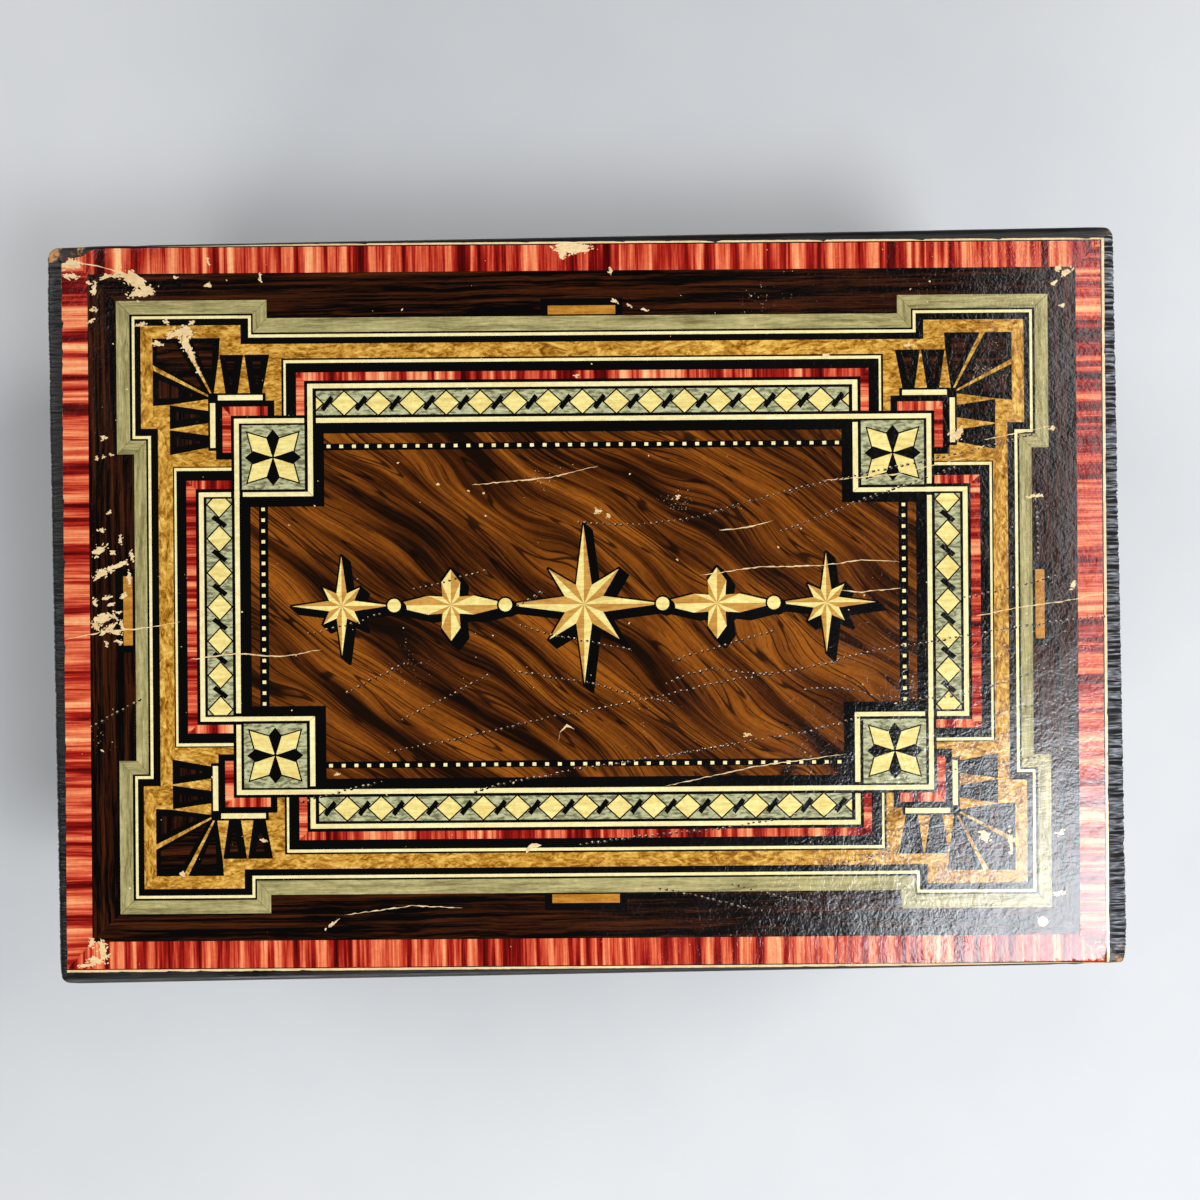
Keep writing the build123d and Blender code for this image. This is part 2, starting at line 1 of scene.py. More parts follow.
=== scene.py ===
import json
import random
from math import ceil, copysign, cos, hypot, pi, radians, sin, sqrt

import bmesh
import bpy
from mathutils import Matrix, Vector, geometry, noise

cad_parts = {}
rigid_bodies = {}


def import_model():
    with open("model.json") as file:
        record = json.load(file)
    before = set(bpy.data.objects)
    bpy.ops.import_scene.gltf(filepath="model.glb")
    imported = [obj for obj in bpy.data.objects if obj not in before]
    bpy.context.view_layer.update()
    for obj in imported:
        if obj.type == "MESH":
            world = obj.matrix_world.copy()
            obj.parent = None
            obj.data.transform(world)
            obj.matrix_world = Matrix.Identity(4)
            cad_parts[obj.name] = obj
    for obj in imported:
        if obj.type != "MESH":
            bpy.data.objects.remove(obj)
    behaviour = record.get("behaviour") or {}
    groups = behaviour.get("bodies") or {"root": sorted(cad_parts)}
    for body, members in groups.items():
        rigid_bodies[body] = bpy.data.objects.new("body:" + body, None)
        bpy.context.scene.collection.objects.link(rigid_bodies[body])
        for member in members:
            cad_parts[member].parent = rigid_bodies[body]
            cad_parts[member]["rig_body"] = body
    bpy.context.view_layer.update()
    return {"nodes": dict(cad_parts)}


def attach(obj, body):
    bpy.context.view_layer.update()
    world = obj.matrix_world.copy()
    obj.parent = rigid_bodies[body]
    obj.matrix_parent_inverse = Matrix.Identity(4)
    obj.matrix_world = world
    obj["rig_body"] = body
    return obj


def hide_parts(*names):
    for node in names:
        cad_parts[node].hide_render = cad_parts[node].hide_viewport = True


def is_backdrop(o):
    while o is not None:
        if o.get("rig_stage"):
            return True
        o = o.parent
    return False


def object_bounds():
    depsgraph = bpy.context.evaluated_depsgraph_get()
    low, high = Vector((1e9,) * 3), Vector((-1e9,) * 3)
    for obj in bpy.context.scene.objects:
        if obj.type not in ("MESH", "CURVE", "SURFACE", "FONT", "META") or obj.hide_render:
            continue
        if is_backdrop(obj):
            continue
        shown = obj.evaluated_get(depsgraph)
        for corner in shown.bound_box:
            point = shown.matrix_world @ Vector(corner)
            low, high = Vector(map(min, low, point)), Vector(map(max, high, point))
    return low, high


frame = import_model()

# %% [markdown]
# # A work box under a printed paper label
#
# The real object is a softwood box, stained black, whose lid carries one sheet of paper printed to
# look like inlaid veneers and then varnished. The frame gives every wooden and brass piece its
# size and place. This file gives them their surfaces, and makes anew the few pieces whose shape
# is richer than the frame's: the label, the two boards and the pincushion.
#
# All lengths below are written in millimetres, because the box is small, and become metres
# through `MM` when a mesh is made.

MM = 0.001
BOARD_LENGTH, BOARD_DEPTH, BOARD_CORNER, BOARD_ROUND = 270.0, 186.3, 2.5, 1.5
SEAM, LID_TOP = 88.0, 95.0


def bring_in(name, data):
    """Puts a mesh, curve, lamp or camera in the scene as an object."""
    thing = bpy.data.objects.new(name, data)
    bpy.context.collection.objects.link(thing)
    return thing


def bring_mesh(name, corners, faces):
    """A mesh from corners given in millimetres."""
    mesh = bpy.data.meshes.new(name)
    mesh.from_pydata([[c * MM for c in corner] for corner in corners], [], faces)
    return mesh


def worked_out(thing, keep=False, every_layer=True):
    """The plain mesh that an object's modifiers make of it; the object goes unless it is kept."""
    graph = bpy.context.evaluated_depsgraph_get()
    made = bpy.data.meshes.new_from_object(thing.evaluated_get(graph), preserve_all_data_layers=every_layer,
                                           depsgraph=graph)
    if not keep:
        bpy.data.objects.remove(thing)
    return made


def lumps(x, y, z):
    """Smooth random heights, the same on every run."""
    return noise.noise(Vector((x, y, z)))


def extent(mesh):
    """A mesh's lowest and highest corner in millimetres."""
    return [tuple(round(pick(v.co[i] for v in mesh.vertices) / MM, 2) for i in range(3))
            for pick in (min, max)]

# %% [markdown]
# ## Writing materials down like recipes
#
# A node tree is easier to read as a list of steps than as boxes and wires. `Recipe` adds one node
# a line and hands back its output, so that a step can use the one before. A plain number is set
# on the socket itself, and only an output is wired.


# %% A recipe for a node tree
class Recipe:
    """Adds nodes to one tree; every step returns the socket that the next steps use."""

    def __init__(self, tree):
        self.tree = tree

    def add(self, kind, values=(), out=0, **more):
        """A keyword with a capital fills a socket of the new node; any other is one of its settings."""
        node = self.tree.nodes.new(kind)
        sockets = dict(values if isinstance(values, dict) else enumerate(values))
        for name, value in more.items():
            if name[0].isupper():
                sockets[name] = value
            else:
                setattr(node, name, value)
        for place, value in sockets.items():
            if isinstance(value, bpy.types.NodeSocket):
                self.tree.links.new(value, node.inputs[place])
            elif value is not None:
                node.inputs[place].default_value = value
        return node.outputs[out]

    def calc(self, operation, *values, clamp=False):
        return self.add("ShaderNodeMath", values, operation=operation, use_clamp=clamp)

    def plus(self, *values, clamp=False):
        total = values[0]
        for value in values[1:]:
            total = self.calc("ADD", total, value, clamp=clamp)
        return total

    def minus(self, *values, clamp=False):
        return self.calc("SUBTRACT", *values, clamp=clamp)

    def times(self, *values, clamp=False):
        return self.calc("MULTIPLY", *values, clamp=clamp)

    def over(self, *values):
        return self.calc("DIVIDE", *values)

    def far(self, value):
        """How far a value is from nought, whichever its sign."""
        return self.calc("ABSOLUTE", value)

    def parts(self, place):
        return self.add("ShaderNodeSeparateXYZ", [place]).node.outputs

    def scaled(self, place, size):
        return self.add("ShaderNodeVectorMath", {0: place, "Scale": size}, operation="SCALE")

    def stored(self, name):
        """A number that the mesh keeps for each of its points."""
        return self.add("ShaderNodeAttribute", out="Fac", attribute_name=name)

    def skin(self, colour, rough, strength, distance, height):
        """What a finish hands to its shader: colour, roughness and a bump."""
        normal = self.add("ShaderNodeBump", Strength=strength, Distance=distance, Height=height)
        return {"Base Color": colour, "Roughness": rough, "Normal": normal}

    def noise(self, place, scale, detail=3.0, rough=0.5, bend=0.0):
        return self.add("ShaderNodeTexNoise", Vector=place, Scale=scale, Detail=detail, Roughness=rough,
                        Distortion=bend)

    def stretch(self, place, scale=(1, 1, 1), turn=(0, 0, 0), shift=(0, 0, 0)):
        return self.add("ShaderNodeMapping", Vector=place, Scale=scale, Rotation=turn, Location=shift)

    def blend(self, share, first, second, how="MIX"):
        return self.add("ShaderNodeMix", {0: share, 6: first, 7: second}, out=2, data_type="RGBA",
                        blend_type=how)

    def tint(self, colour, mask, low, high, most, over):
        """Lays one colour over another, up to a share, where the mask rises from low to high."""
        return self.blend(self.between(mask, low, high, 0.0, most), colour, over)

    def between(self, value, low, high, to_low=0.0, to_high=1.0):
        return self.add("ShaderNodeMapRange", [value, low, high, to_low, to_high])

    def ramp(self, value, *stops):
        out = self.add("ShaderNodeValToRGB", [value])
        bar = out.node.color_ramp
        while len(bar.elements) < len(stops):
            bar.elements.new(0.5)
        for element, (position, colour) in zip(bar.elements, stops):
            element.position = position
            element.color = colour
        return out


def paint(red, green, blue):
    """A colour as a painter's chart gives it, 0 to 255, made linear for the shader."""
    parts = [c / 255 for c in (red, green, blue)]
    return tuple(c / 12.92 if c < 0.04045 else ((c + 0.055) / 1.055) ** 2.4 for c in parts) + (1.0,)


def effect(inputs, outputs):
    """Makes a node group of the steps below it; a socket is a number unless its kind is told."""
    kinds = {"": "NodeSocketFloat", "colour": "NodeSocketColor", "vector": "NodeSocketVector"}

    def build(steps):
        tree = bpy.data.node_groups.new(steps.__name__, "ShaderNodeTree")
        ends = {"INPUT": [], "OUTPUT": []}
        for direction, sockets in (("INPUT", inputs), ("OUTPUT", outputs)):
            for label, _, kind in (socket.partition(":") for socket in sockets.split()):
                tree.interface.new_socket(label, in_out=direction, socket_type=kinds[kind])
                ends[direction].append(label)
        given = tree.nodes.new("NodeGroupInput").outputs
        made = steps(Recipe(tree), *[given[label] for label in ends["INPUT"]])
        end = tree.nodes.new("NodeGroupOutput")
        for label, value in zip(ends["OUTPUT"], made):
            tree.links.new(value, end.inputs[label])
        return tree
    return build


def use(recipe, tree, **values):
    """Places an effect in a material and returns its outputs by name."""
    return recipe.add("ShaderNodeGroup", values, node_tree=tree).node.outputs


def finish_of(name, steps, **constants):
    """A material: steps(recipe, place) returns the Principled sockets that it drives."""
    material = bpy.data.materials.new(name)
    material.use_nodes = True
    tree = material.node_tree
    shader = tree.nodes["Principled BSDF"]
    recipe = Recipe(tree)
    place = recipe.add("ShaderNodeTexCoord", out="Object")
    for socket, value in {**constants, **steps(recipe, place)}.items():
        if isinstance(value, bpy.types.NodeSocket):
            tree.links.new(value, shader.inputs[socket])
        else:
            shader.inputs[socket].default_value = value
    return material

# %% [markdown]
# ## The light, the table and the camera
#
# The photograph looks straight down from about 300 mm above the lid. One broad light stands low
# at the front right: its reflection in the varnish whitens that corner of the label, while the
# rest mirrors a dim ceiling and keeps its blacks.

# %% Camera, table and lights
CAMERA_PLACE = (3.3, 1.26, 400.3)
CAMERA_TURN = radians(-1.1)
PHOTO_SIDE = 301.96

camera = bring_in("camera", bpy.data.cameras.new("camera"))
camera.location = [c * MM for c in CAMERA_PLACE]
camera.rotation_euler = (0, 0, CAMERA_TURN)
camera.data.sensor_width = 36
camera.data.lens = 36 * (CAMERA_PLACE[2] - LID_TOP - 0.25) / PHOTO_SIDE
camera.data.clip_start = 0.01
bpy.context.scene.camera = camera
bpy.context.scene.view_settings.view_transform = "Standard"


def softbox(name, place, target, sides, watts, tint):
    lamp = bpy.data.lights.new(name, "AREA")
    lamp.shape, lamp.energy, lamp.color = "RECTANGLE", watts, tint
    lamp.size, lamp.size_y = sides
    box = bring_in(name, lamp)
    box.location = place
    box.rotation_euler = (Vector(target) - Vector(place)).to_track_quat("-Z", "Y").to_euler()


softbox("window_light", (0.50, -0.37, 1.02), (0.05, -0.04, 0.095), (0.34, 0.32), 7.2, (0.88, 0.94, 1.0))
softbox("window_edge", (0.578, 0.0, 1.0), (0.08, 0.0, 0.095), (0.9, 0.16), 2.5, (1.0, 0.97, 0.98))
softbox("left_light", (-0.95, 0.55, 0.85), (0.0, 0.0, 0.06), (0.8, 0.8), 4.8, (0.97, 0.98, 1.0))
softbox("front_light", (-0.35, -1.15, 0.75), (0.0, 0.0, 0.05), (0.9, 0.6), 10.0, (1.0, 0.99, 0.97))
softbox("right_light", (1.15, 0.35, 0.75), (0.0, 0.0, 0.05), (0.6, 0.8), 9.5, (1.0, 0.98, 0.96))

world = bpy.data.worlds.new("dim_room")
world.use_nodes = True
bpy.context.scene.world = world
world.node_tree.nodes["Background"].inputs["Color"].default_value = paint(150, 156, 165)
world.node_tree.nodes["Background"].inputs["Strength"].default_value = 0.12

table_mesh = bpy.data.meshes.new("table")
table_mesh.from_pydata([(-3, -3, 0), (3, -3, 0), (3, 3, 0), (-3, 3, 0)], [], [(0, 1, 2, 3)])
table = bring_in("table", table_mesh)
table_mesh.materials.append(finish_of("table_paint", lambda r, place: {
    "Base Color": r.blend(r.noise(place, 30, 4), paint(206, 208, 210), paint(214, 215, 216))},
    Roughness=0.6))
table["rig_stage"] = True
print("camera sees", PHOTO_SIDE, "mm of the lid through a", round(camera.data.lens, 2), "mm lens")

# %% [markdown]
# ## The printed veneers
#
# The sheet imitates marquetry, so its inks imitate woods: stripes of dyed red wood, streaky
# rosewood, grey harewood, gold burr, walnut and pale satinwood. Each is a few noises, stretched
# along the grain. One effect, `aged_print`, lies over all of them, because age doesn't stop
# at the edge of an ink: it mottles the print, rubs pale specks into it and ripples the varnish.


# %% The effects that the inks share
@effect("Place:vector Ink:colour", "Colour:colour Roughness Height")
def aged_print(r, place, ink):
    mottle = r.noise(place, 850, 4, 0.6)
    grime = r.noise(place, 16, 5, 0.6)
    specks = r.noise(place, 2300, 2, 0.5)
    worn_zone = r.noise(place, 34, 6, 0.72)
    rub = r.between(r.plus(r.times(specks, 0.6), worn_zone), 1.06, 1.1)
    shade = r.times(r.between(mottle, 0.25, 0.75, 0.84, 1.12), r.between(grime, 0.3, 0.7, 0.9, 1.04))
    colour = r.blend(r.times(rub, 0.6, clamp=True), r.scaled(ink, shade), paint(226, 190, 140))
    roughness = r.plus(r.between(grime, 0.3, 0.7, 0.1, 0.19), r.times(rub, 0.35))
    cracks = r.add("ShaderNodeTexVoronoi", Vector=place, Scale=260, feature="DISTANCE_TO_EDGE")
    ripple = r.times(r.noise(place, 95, 3, 0.55), 1.6)
    peel = r.times(r.noise(place, 1300, 3, 0.6), 0.36)
    crease = r.far(r.minus(r.noise(place, 400, 3, 0.6), 0.5))
    return colour, roughness, r.plus(ripple, peel, r.between(cracks, 0.0, 0.05, -0.06, 0.0),
                                     r.times(crease, 0.55))


@effect("Place:vector Length Width Bend", "Figure Fibre")
def grain(r, place, length, width, bend):
    warp = r.noise(place, 60, 3, 0.5)
    push = r.add("ShaderNodeCombineXYZ", [r.times(r.minus(warp, 0.5), bend)] * 3)
    x, y, z = r.parts(r.add("ShaderNodeVectorMath", [place, push], operation="ADD"))
    streaked = r.add("ShaderNodeCombineXYZ", [r.over(x, length), r.over(y, width), r.over(z, width)])
    return r.noise(streaked, 1.0, 4, 0.6), r.noise(streaked, 4.3, 3, 0.6)
ALONG, ACROSS = (0, 0, 0), (0, 0, radians(90))


def printed(name, ink_steps, turn=ALONG):
    """An ink: its own colour steps under the shared age of the print."""
    def steps(r, place):
        ink = ink_steps(r, r.stretch(place, turn=turn))
        aged = use(r, aged_print, Place=place, Ink=ink)
        return r.skin(aged["Colour"], aged["Roughness"], 0.35, 0.0004, aged["Height"])
    return finish_of(name, steps, IOR=1.48)


# %% The inks
def grained(length, width, bend, dark, light, fine=0.35, low=0.36, high=0.64):
    """Ink steps for a straight-grained wood between two colours."""
    def steps(r, place):
        wood = use(r, grain, Place=place, Length=length * MM, Width=width * MM, Bend=bend * MM)
        mixed = r.plus(r.times(wood["Figure"], 1 - fine), r.times(wood["Fibre"], fine))
        return r.blend(r.between(mixed, low, high), dark, light)
    return steps


def red_stripes(r, place):
    """Dyed wood with its stripes across the border: dark red, scarlet and flesh pink."""
    wood = use(r, grain, Place=place, Length=1.5 * MM, Width=55 * MM, Bend=0.5 * MM)
    wide = r.noise(r.stretch(place, scale=(1, 0.05, 0.05)), 210, 2, 0.5)
    mixed = r.plus(r.times(wood["Figure"], 0.44), r.times(wood["Fibre"], 0.12), r.times(wide, 0.44))
    return r.ramp(mixed, (0.37, paint(52, 2, 2)), (0.435, paint(106, 9, 6)), (0.478, paint(164, 30, 20)),
                          (0.52, paint(214, 88, 56)), (0.57, paint(242, 144, 96)),
                          (0.65, paint(254, 202, 140)))


def gold_burr(r, place):
    """Burr: small swirls and eyes, gold with brown between."""
    swirl = r.noise(r.stretch(place, scale=(0.5, 1, 1)), 240, 4, 0.6, 2.6)
    eyes = r.noise(r.stretch(place, scale=(0.45, 1, 1)), 820, 4, 0.65, 1.6)
    mixed = r.plus(r.times(swirl, 0.5), r.times(eyes, 0.5))
    return r.ramp(mixed, (0.37, paint(108, 64, 10)), (0.45, paint(162, 108, 28)),
                  (0.52, paint(204, 150, 58)),
                          (0.64, paint(242, 200, 104)))


def walnut_figure(r, place):
    """Figured wood: broad bands, thin dark veins and pores that flow down to the right and swirl."""
    slanted = r.stretch(place, turn=(0, 0, radians(37)))
    sway = r.minus(r.noise(r.stretch(slanted, scale=(0.5, 1, 1)), 26, 2, 0.45), 0.5)
    push = r.add("ShaderNodeCombineXYZ", [0.0, r.times(sway, 0.034), 0.0])
    flow = r.add("ShaderNodeVectorMath", [slanted, push], operation="ADD")
    bands = r.noise(r.stretch(flow, scale=(0.12, 1, 1)), 135, 2, 0.5)
    lines = r.noise(r.stretch(flow, scale=(0.03, 1, 1)), 900, 3, 0.6)
    veins = []
    for scale, width in ((230, 0.013), (430, 0.02)):
        vein = r.noise(r.stretch(flow, scale=(0.06, 1, 1), shift=(0.3, 0.1, 0.2)), scale, 0, 0.5)
        off = r.far(r.minus(vein, 0.5))
        veins.append(r.between(off, width * 0.5, width * 1.2, 1.0, 0.0))
    pores = r.noise(r.stretch(flow, scale=(0.05, 1, 1), shift=(0.5, 0.7, 0.1)), 3200, 2, 0.6)
    mixed = r.plus(r.times(bands, 0.66), r.times(lines, 0.34))
    wood = r.ramp(mixed, (0.39, paint(22, 8, 1)), (0.45, paint(66, 29, 4)), (0.515, paint(108, 55, 10)),
                          (0.61, paint(152, 84, 20)))
    wood = r.blend(r.times(r.calc("MAXIMUM", *veins), 0.85), wood, paint(14, 5, 2))
    return r.tint(wood, pores, 0.58, 0.64, 0.55, paint(24, 9, 2))


def flecked_grey(r, place):
    flecks = r.noise(r.stretch(place, scale=(0.35, 1, 1)), 1500, 3, 0.6)
    return r.ramp(flecks, (0.4, paint(112, 112, 82)), (0.5, paint(172, 171, 128)),
                  (0.62, paint(196, 194, 152)))


def plain(colour):
    return lambda r, place: r.blend(r.noise(place, 400, 2), colour, [c * 0.9 for c in colour[:3]] + [1.0])


CREAM = grained(14, 1.2, 0.5, paint(236, 216, 146), paint(252, 240, 184))
ROSEWOOD = grained(46, 1.1, 1.4, paint(4, 2, 1), paint(84, 38, 12), 0.3, 0.46, 0.7)
HAREWOOD = grained(16, 1.1, 2.4, paint(118, 108, 66), paint(196, 184, 126))
inks = {}
for ink, title, steps, both_ways in (
        ("paper", "bare_paper", grained(9, 2, 1, paint(222, 186, 132), paint(246, 220, 170)), False),
        ("black", "black_ink", plain(paint(6, 5, 4)), False),
        ("cream", "cream_ink", CREAM, True),
        ("red", "red_ink", red_stripes, True),
        ("rosewood", "rosewood_ink", ROSEWOOD, True),
        ("harewood", "harewood_ink", HAREWOOD, True),
        ("mitre", "mitre_ink", plain(paint(98, 88, 52)), False),
        ("gold", "gold_ink", gold_burr, True),
        ("amber", "amber_ink", grained(7, 1.2, 0.6, paint(158, 96, 24), paint(206, 146, 56)), False),
        ("walnut", "walnut_ink", walnut_figure, False),
        ("grey", "grey_ink", flecked_grey, False),
        ("satin", "satinwood_ink", grained(7, 0.9, 0.6, paint(226, 196, 108), paint(252, 238, 158)), False),
        ("shaded", "shaded_ink", grained(7, 0.9, 0.6, paint(176, 122, 48), paint(216, 164, 82)), False)):
    inks[ink] = printed(title, steps)
    if both_ways:
        inks[ink + "_across"] = printed(title + "_across", steps, ACROSS)
print(len(inks), "inks")

# %% [markdown]
# ## Drawing the marquetry
#
# The print is a flat picture made of polygons, drawn from the outside in: a later shape covers
# the one below, as in a stack of cut papers. All four corners mirror one another, so most shapes
# are given once, for the top left corner, in millimetres from the pattern's centre.

# %% A stack of cut papers
stack = []
SIDES = (1, -1)


def lay(ink, *corners):
    stack.append((ink, [tuple(c) for c in corners]))


def lay_block(ink, xs, ys):
    """A rectangle between two places across and two places up, given in either order."""
    left, right, bottom, top = min(xs), max(xs), min(ys), max(ys)
    lay(ink, (left, bottom), (right, bottom), (right, top), (left, top))


def lay_about(ink, x, y, half_x, half_y):
    lay_block(ink, (x - half_x, x + half_x), (y - half_y, y + half_y))


def lay_frames(*frames):
    """Rectangles round the pattern's centre, each with its ink and its half sizes."""
    for ink, half_x, half_y in frames:
        lay_about(ink, 0.0, 0.0, half_x, half_y)


def lay_corners(ink, *corners):
    """One shape of the top left corner, and its mirror images in the other three."""
    for sx in SIDES:
        for sy in SIDES:
            lay(ink, *[(x * sx, y * sy) for x, y in corners])


def lay_mitred(ink, left, bottom, right, top, width_x, width_y):
    """Four bands with mitred ends round a rectangle; the upright ones have their grain turned."""
    outer = [(left, bottom), (right, bottom), (right, top), (left, top)]
    inner = [(left + width_x, bottom + width_y), (right - width_x, bottom + width_y),
             (right - width_x, top - width_y), (left + width_x, top - width_y)]
    for side in range(4):
        after = (side + 1) % 4
        lay(ink + ("_across" if side % 2 else ""), outer[side], outer[after], inner[after], inner[side])


def lay_stepped(ink, corner_x, corner_y, step_x, step_y, side_x, side_y):
    """A frame whose corners are blocks that stand out beyond its sides."""
    quarter = [(side_x, step_y), (corner_x, step_y), (corner_x, corner_y), (step_x, corner_y),
               (step_x, side_y)]
    path = quarter + [(-x, y) for x, y in reversed(quarter)]
    lay(ink, *(path + [(-x, -y) for x, y in path]))


def lay_fan(ink, *corners, pivot=(-92.75, 52.3)):
    """A corner shape and its mirror image about the diagonal through the fan's own corner."""
    lay_corners(ink, *corners)
    across = ink + "_across" if ink + "_across" in inks else ink
    lay_corners(across, *[(pivot[0] - (y - pivot[1]), pivot[1] - (x - pivot[0])) for x, y in corners])


def outset(corners, margin):
    """The same convex polygon, its sides moved outwards and its corners kept sharp."""
    pairs = list(zip(corners, corners[1:] + corners[:1]))
    turn = 1 if sum(a[0] * b[1] - b[0] * a[1] for a, b in pairs) > 0 else -1
    lines = []
    for (x0, y0), (x1, y1) in pairs:
        length = hypot(x1 - x0, y1 - y0)
        nx, ny = turn * (y1 - y0) / length, -turn * (x1 - x0) / length
        lines.append(((x0 + nx * margin, y0 + ny * margin), (x1 - x0, y1 - y0)))
    moved = []
    for i, ((bx, by), (bu, bv)) in enumerate(lines):
        (ax, ay), (au, av) = lines[i - 1]
        t = ((bx - ax) * bv - (by - ay) * bu) / (au * bv - av * bu)
        moved.append((ax + au * t, ay + av * t))
    return moved


def clipped(corners, left, bottom, right, top):
    """The part of a convex polygon inside a rectangle."""
    for axis, limit, sign in ((0, left, 1), (0, right, -1), (1, bottom, 1), (1, top, -1)):
        kept = []
        for i, here in enumerate(corners):
            last = corners[i - 1]
            inside, was = sign * (here[axis] - limit) >= 0, sign * (last[axis] - limit) >= 0
            if inside != was:
                share = (limit - last[axis]) / (here[axis] - last[axis])
                kept.append(tuple(last[k] + share * (here[k] - last[k]) for k in (0, 1)))
            if inside:
                kept.append(here)
        corners = kept
    return corners


# %% Borders, from the red veneer inwards
lay_block("black", (-130.9, 130.95), (-91.15, 90.8))
lay_mitred("red", -130.9, -90.9, 130.65, 90.5, 6.5, 6.8)
lay_mitred("rosewood", -124.35, -84.0, 124.35, 84.0, 14.0, 14.0)
for side in SIDES:
    lay_block("black", (-10.4, 10.3), (side * 77.0, side * 72.6))
    lay_block("amber", (-8.55, 8.45), (side * 75.2, side * 73.0))
    lay_block("black", (side * 117.8, side * 113), (-11.3, 9.7))
    lay_block("amber", (side * 115.95, side * 113.65), (-9.5, 7.9))
lay_stepped("harewood", 117.25, 77.2, 79.35, 38.6, 112.95, 72.6)
lay_corners("harewood_across", (-117.25, 77.2), (-113.95, 73.8), (-113.95, 42.0), (-117.25, 38.6))
lay_corners("harewood_across", (-79.35, 77.2), (-79.35, 72.6), (-82.85, 69.0), (-82.85, 73.8))
for x0, x1 in ((112.95, 109.85), (-112.95, -109.85)):
    lay("harewood_across", (x0, 38.6), (x1, 42.0), (x1, -42.0), (x0, -38.6))
for (x0, y0), (x1, y1) in (((-117.25, 77.2), (-113.95, 73.8)), ((-79.35, 77.2), (-82.85, 73.8)),
                           ((-79.35, 72.6), (-82.85, 69.0)), ((-117.25, 38.6), (-113.95, 42.0)),
                           ((-112.95, 38.6), (-109.85, 42.0))):
    lay_corners("mitre", (x0, y0), (x0 + 0.16, y0 + 0.03), (x1 + 0.16, y1 + 0.03), (x1, y1))
lay_stepped("black", 113.95, 73.8, 82.85, 42.0, 109.9, 69.0)
lay_stepped("cream", 113.3, 73.3, 83.3, 42.45, 109.4, 68.5)
lay_stepped("black", 112.65, 72.6, 84.0, 43.15, 108.7, 67.75)
lay_stepped("gold", 111.15, 70.9, 85.95, 45.0, 106.9, 66.1)
for x0, x1 in ((106.9, 103.25), (-106.9, -103.25)):
    lay("gold_across", (x0, 45.0), (x1, 41.0), (x1, -41.0), (x0, -45.0))
    lay_corners("gold_across", (-111.15, 70.9), (-108.2, 67.7), (-108.2, 48.0), (-111.15, 45.0))

# %% The fans in the corners
lay_fan("black", (-108.2, 67.7), (-91.15, 67.7), (-91.4, 63.7), (-92.75, 53.8), (-92.75, 52.3))
lay_fan("gold", (-92.95, 52.2), (-101.5, 67.8), (-100.2, 67.8), (-92.65, 52.4))
lay_fan("rosewood", (-97.7, 66.3), (-93.0, 66.3), (-93.3, 58.0), (-94.0, 57.6))
lay_corners("rosewood", (-107.0, 66.4), (-102.3, 66.4), (-95.4, 54.6), (-107.0, 61.4))
lay_fan("black", (-91.3, 63.45), (-85.3, 63.45), (-86.75, 53.8), (-89.85, 53.8))
lay_fan("black", (-85.05, 63.45), (-78.75, 63.45), (-80.55, 53.8), (-83.65, 53.8))
for x in (-88.55, -81.95):
    lay_fan("rosewood", (x - 1.05, 61.7), (x + 1.05, 61.7), (x + 0.2, 56.0), (x - 0.2, 56.0))
lay_corners("black", (-94.25, 53.8), (-79.75, 53.8), (-79.75, 51.9), (-77.55, 51.9), (-77.55, 48.1),
            (-75.0, 48.1), (-75.0, 30.0), (-88.55, 37.1), (-92.35, 37.1), (-92.35, 39.3), (-94.25, 39.3))
lay_fan("cream", (-91.75, 53.3), (-80.5, 53.3), (-80.5, 52.0), (-91.75, 52.0))
lay_corners("red", (-90.65, 50.4), (-79.25, 50.4), (-79.25, 48.1), (-88.55, 48.1))
lay_corners("red_across", (-90.65, 50.4), (-88.55, 48.1), (-88.55, 38.8), (-90.65, 38.8))

# %% The four long bands of diamonds
lay_frames(("black", 75.75, 62.45), ("black", 103.25, 35.35), ("cream", 75.2, 62.0),
           ("black", 74.65, 61.25))
lay_mitred("red", -72.05, -58.85, 72.05, 58.85, 2.0, 2.05)
lay_frames(("cream", 69.25, 56.0), ("black", 67.95, 54.85), ("cream_across", 102.9, 35.05),
           ("black", 102.35, 34.3))
lay_mitred("red", -99.9, -31.8, 99.9, 31.8, 2.35, 2.1)
lay_frames(("cream_across", 96.75, 28.85), ("black", 95.55, 27.75), ("grey", 67.05, 54.15),
           ("grey", 94.85, 27.2))
diamond = [(-3.1, 0), (0, -2.9), (3.1, 0), (0, 2.9)]
lozenge = [(0.8, 2.05), (-1.7, -1.15), (-0.8, -2.05), (1.7, 1.15)]


def lay_diamond_band(count, pitch, middle, limits, upright):
    """A row of pale diamonds with black lozenges between them, cut off at the band's ends."""
    for number in range(-count, count + 1):
        for shape, ink, shift in ((lozenge, "black", 0.5), (outset(diamond, 0.35), "black", 0),
                                  (diamond, "satin", 0)):
            at = ((number + shift) * pitch, middle)
            if upright:
                shape = [(-y, x) if shape is lozenge else (y, x) for x, y in shape]
                at = at[::-1]
            cut = clipped([(x + at[0], y + at[1]) for x, y in shape], *limits)
            if len(cut) > 2:
                lay(ink, *cut)


for side in SIDES:
    low, high = sorted((side * 47.9, side * 54.15))
    lay_diamond_band(8, 8.57, side * 51.0, (-67.05, low, 67.05, high), False)
    low, high = sorted((side * 88.5, side * 94.85))
    lay_diamond_band(3, 8.6, side * 91.65, (low, -27.2, high, 27.2), True)

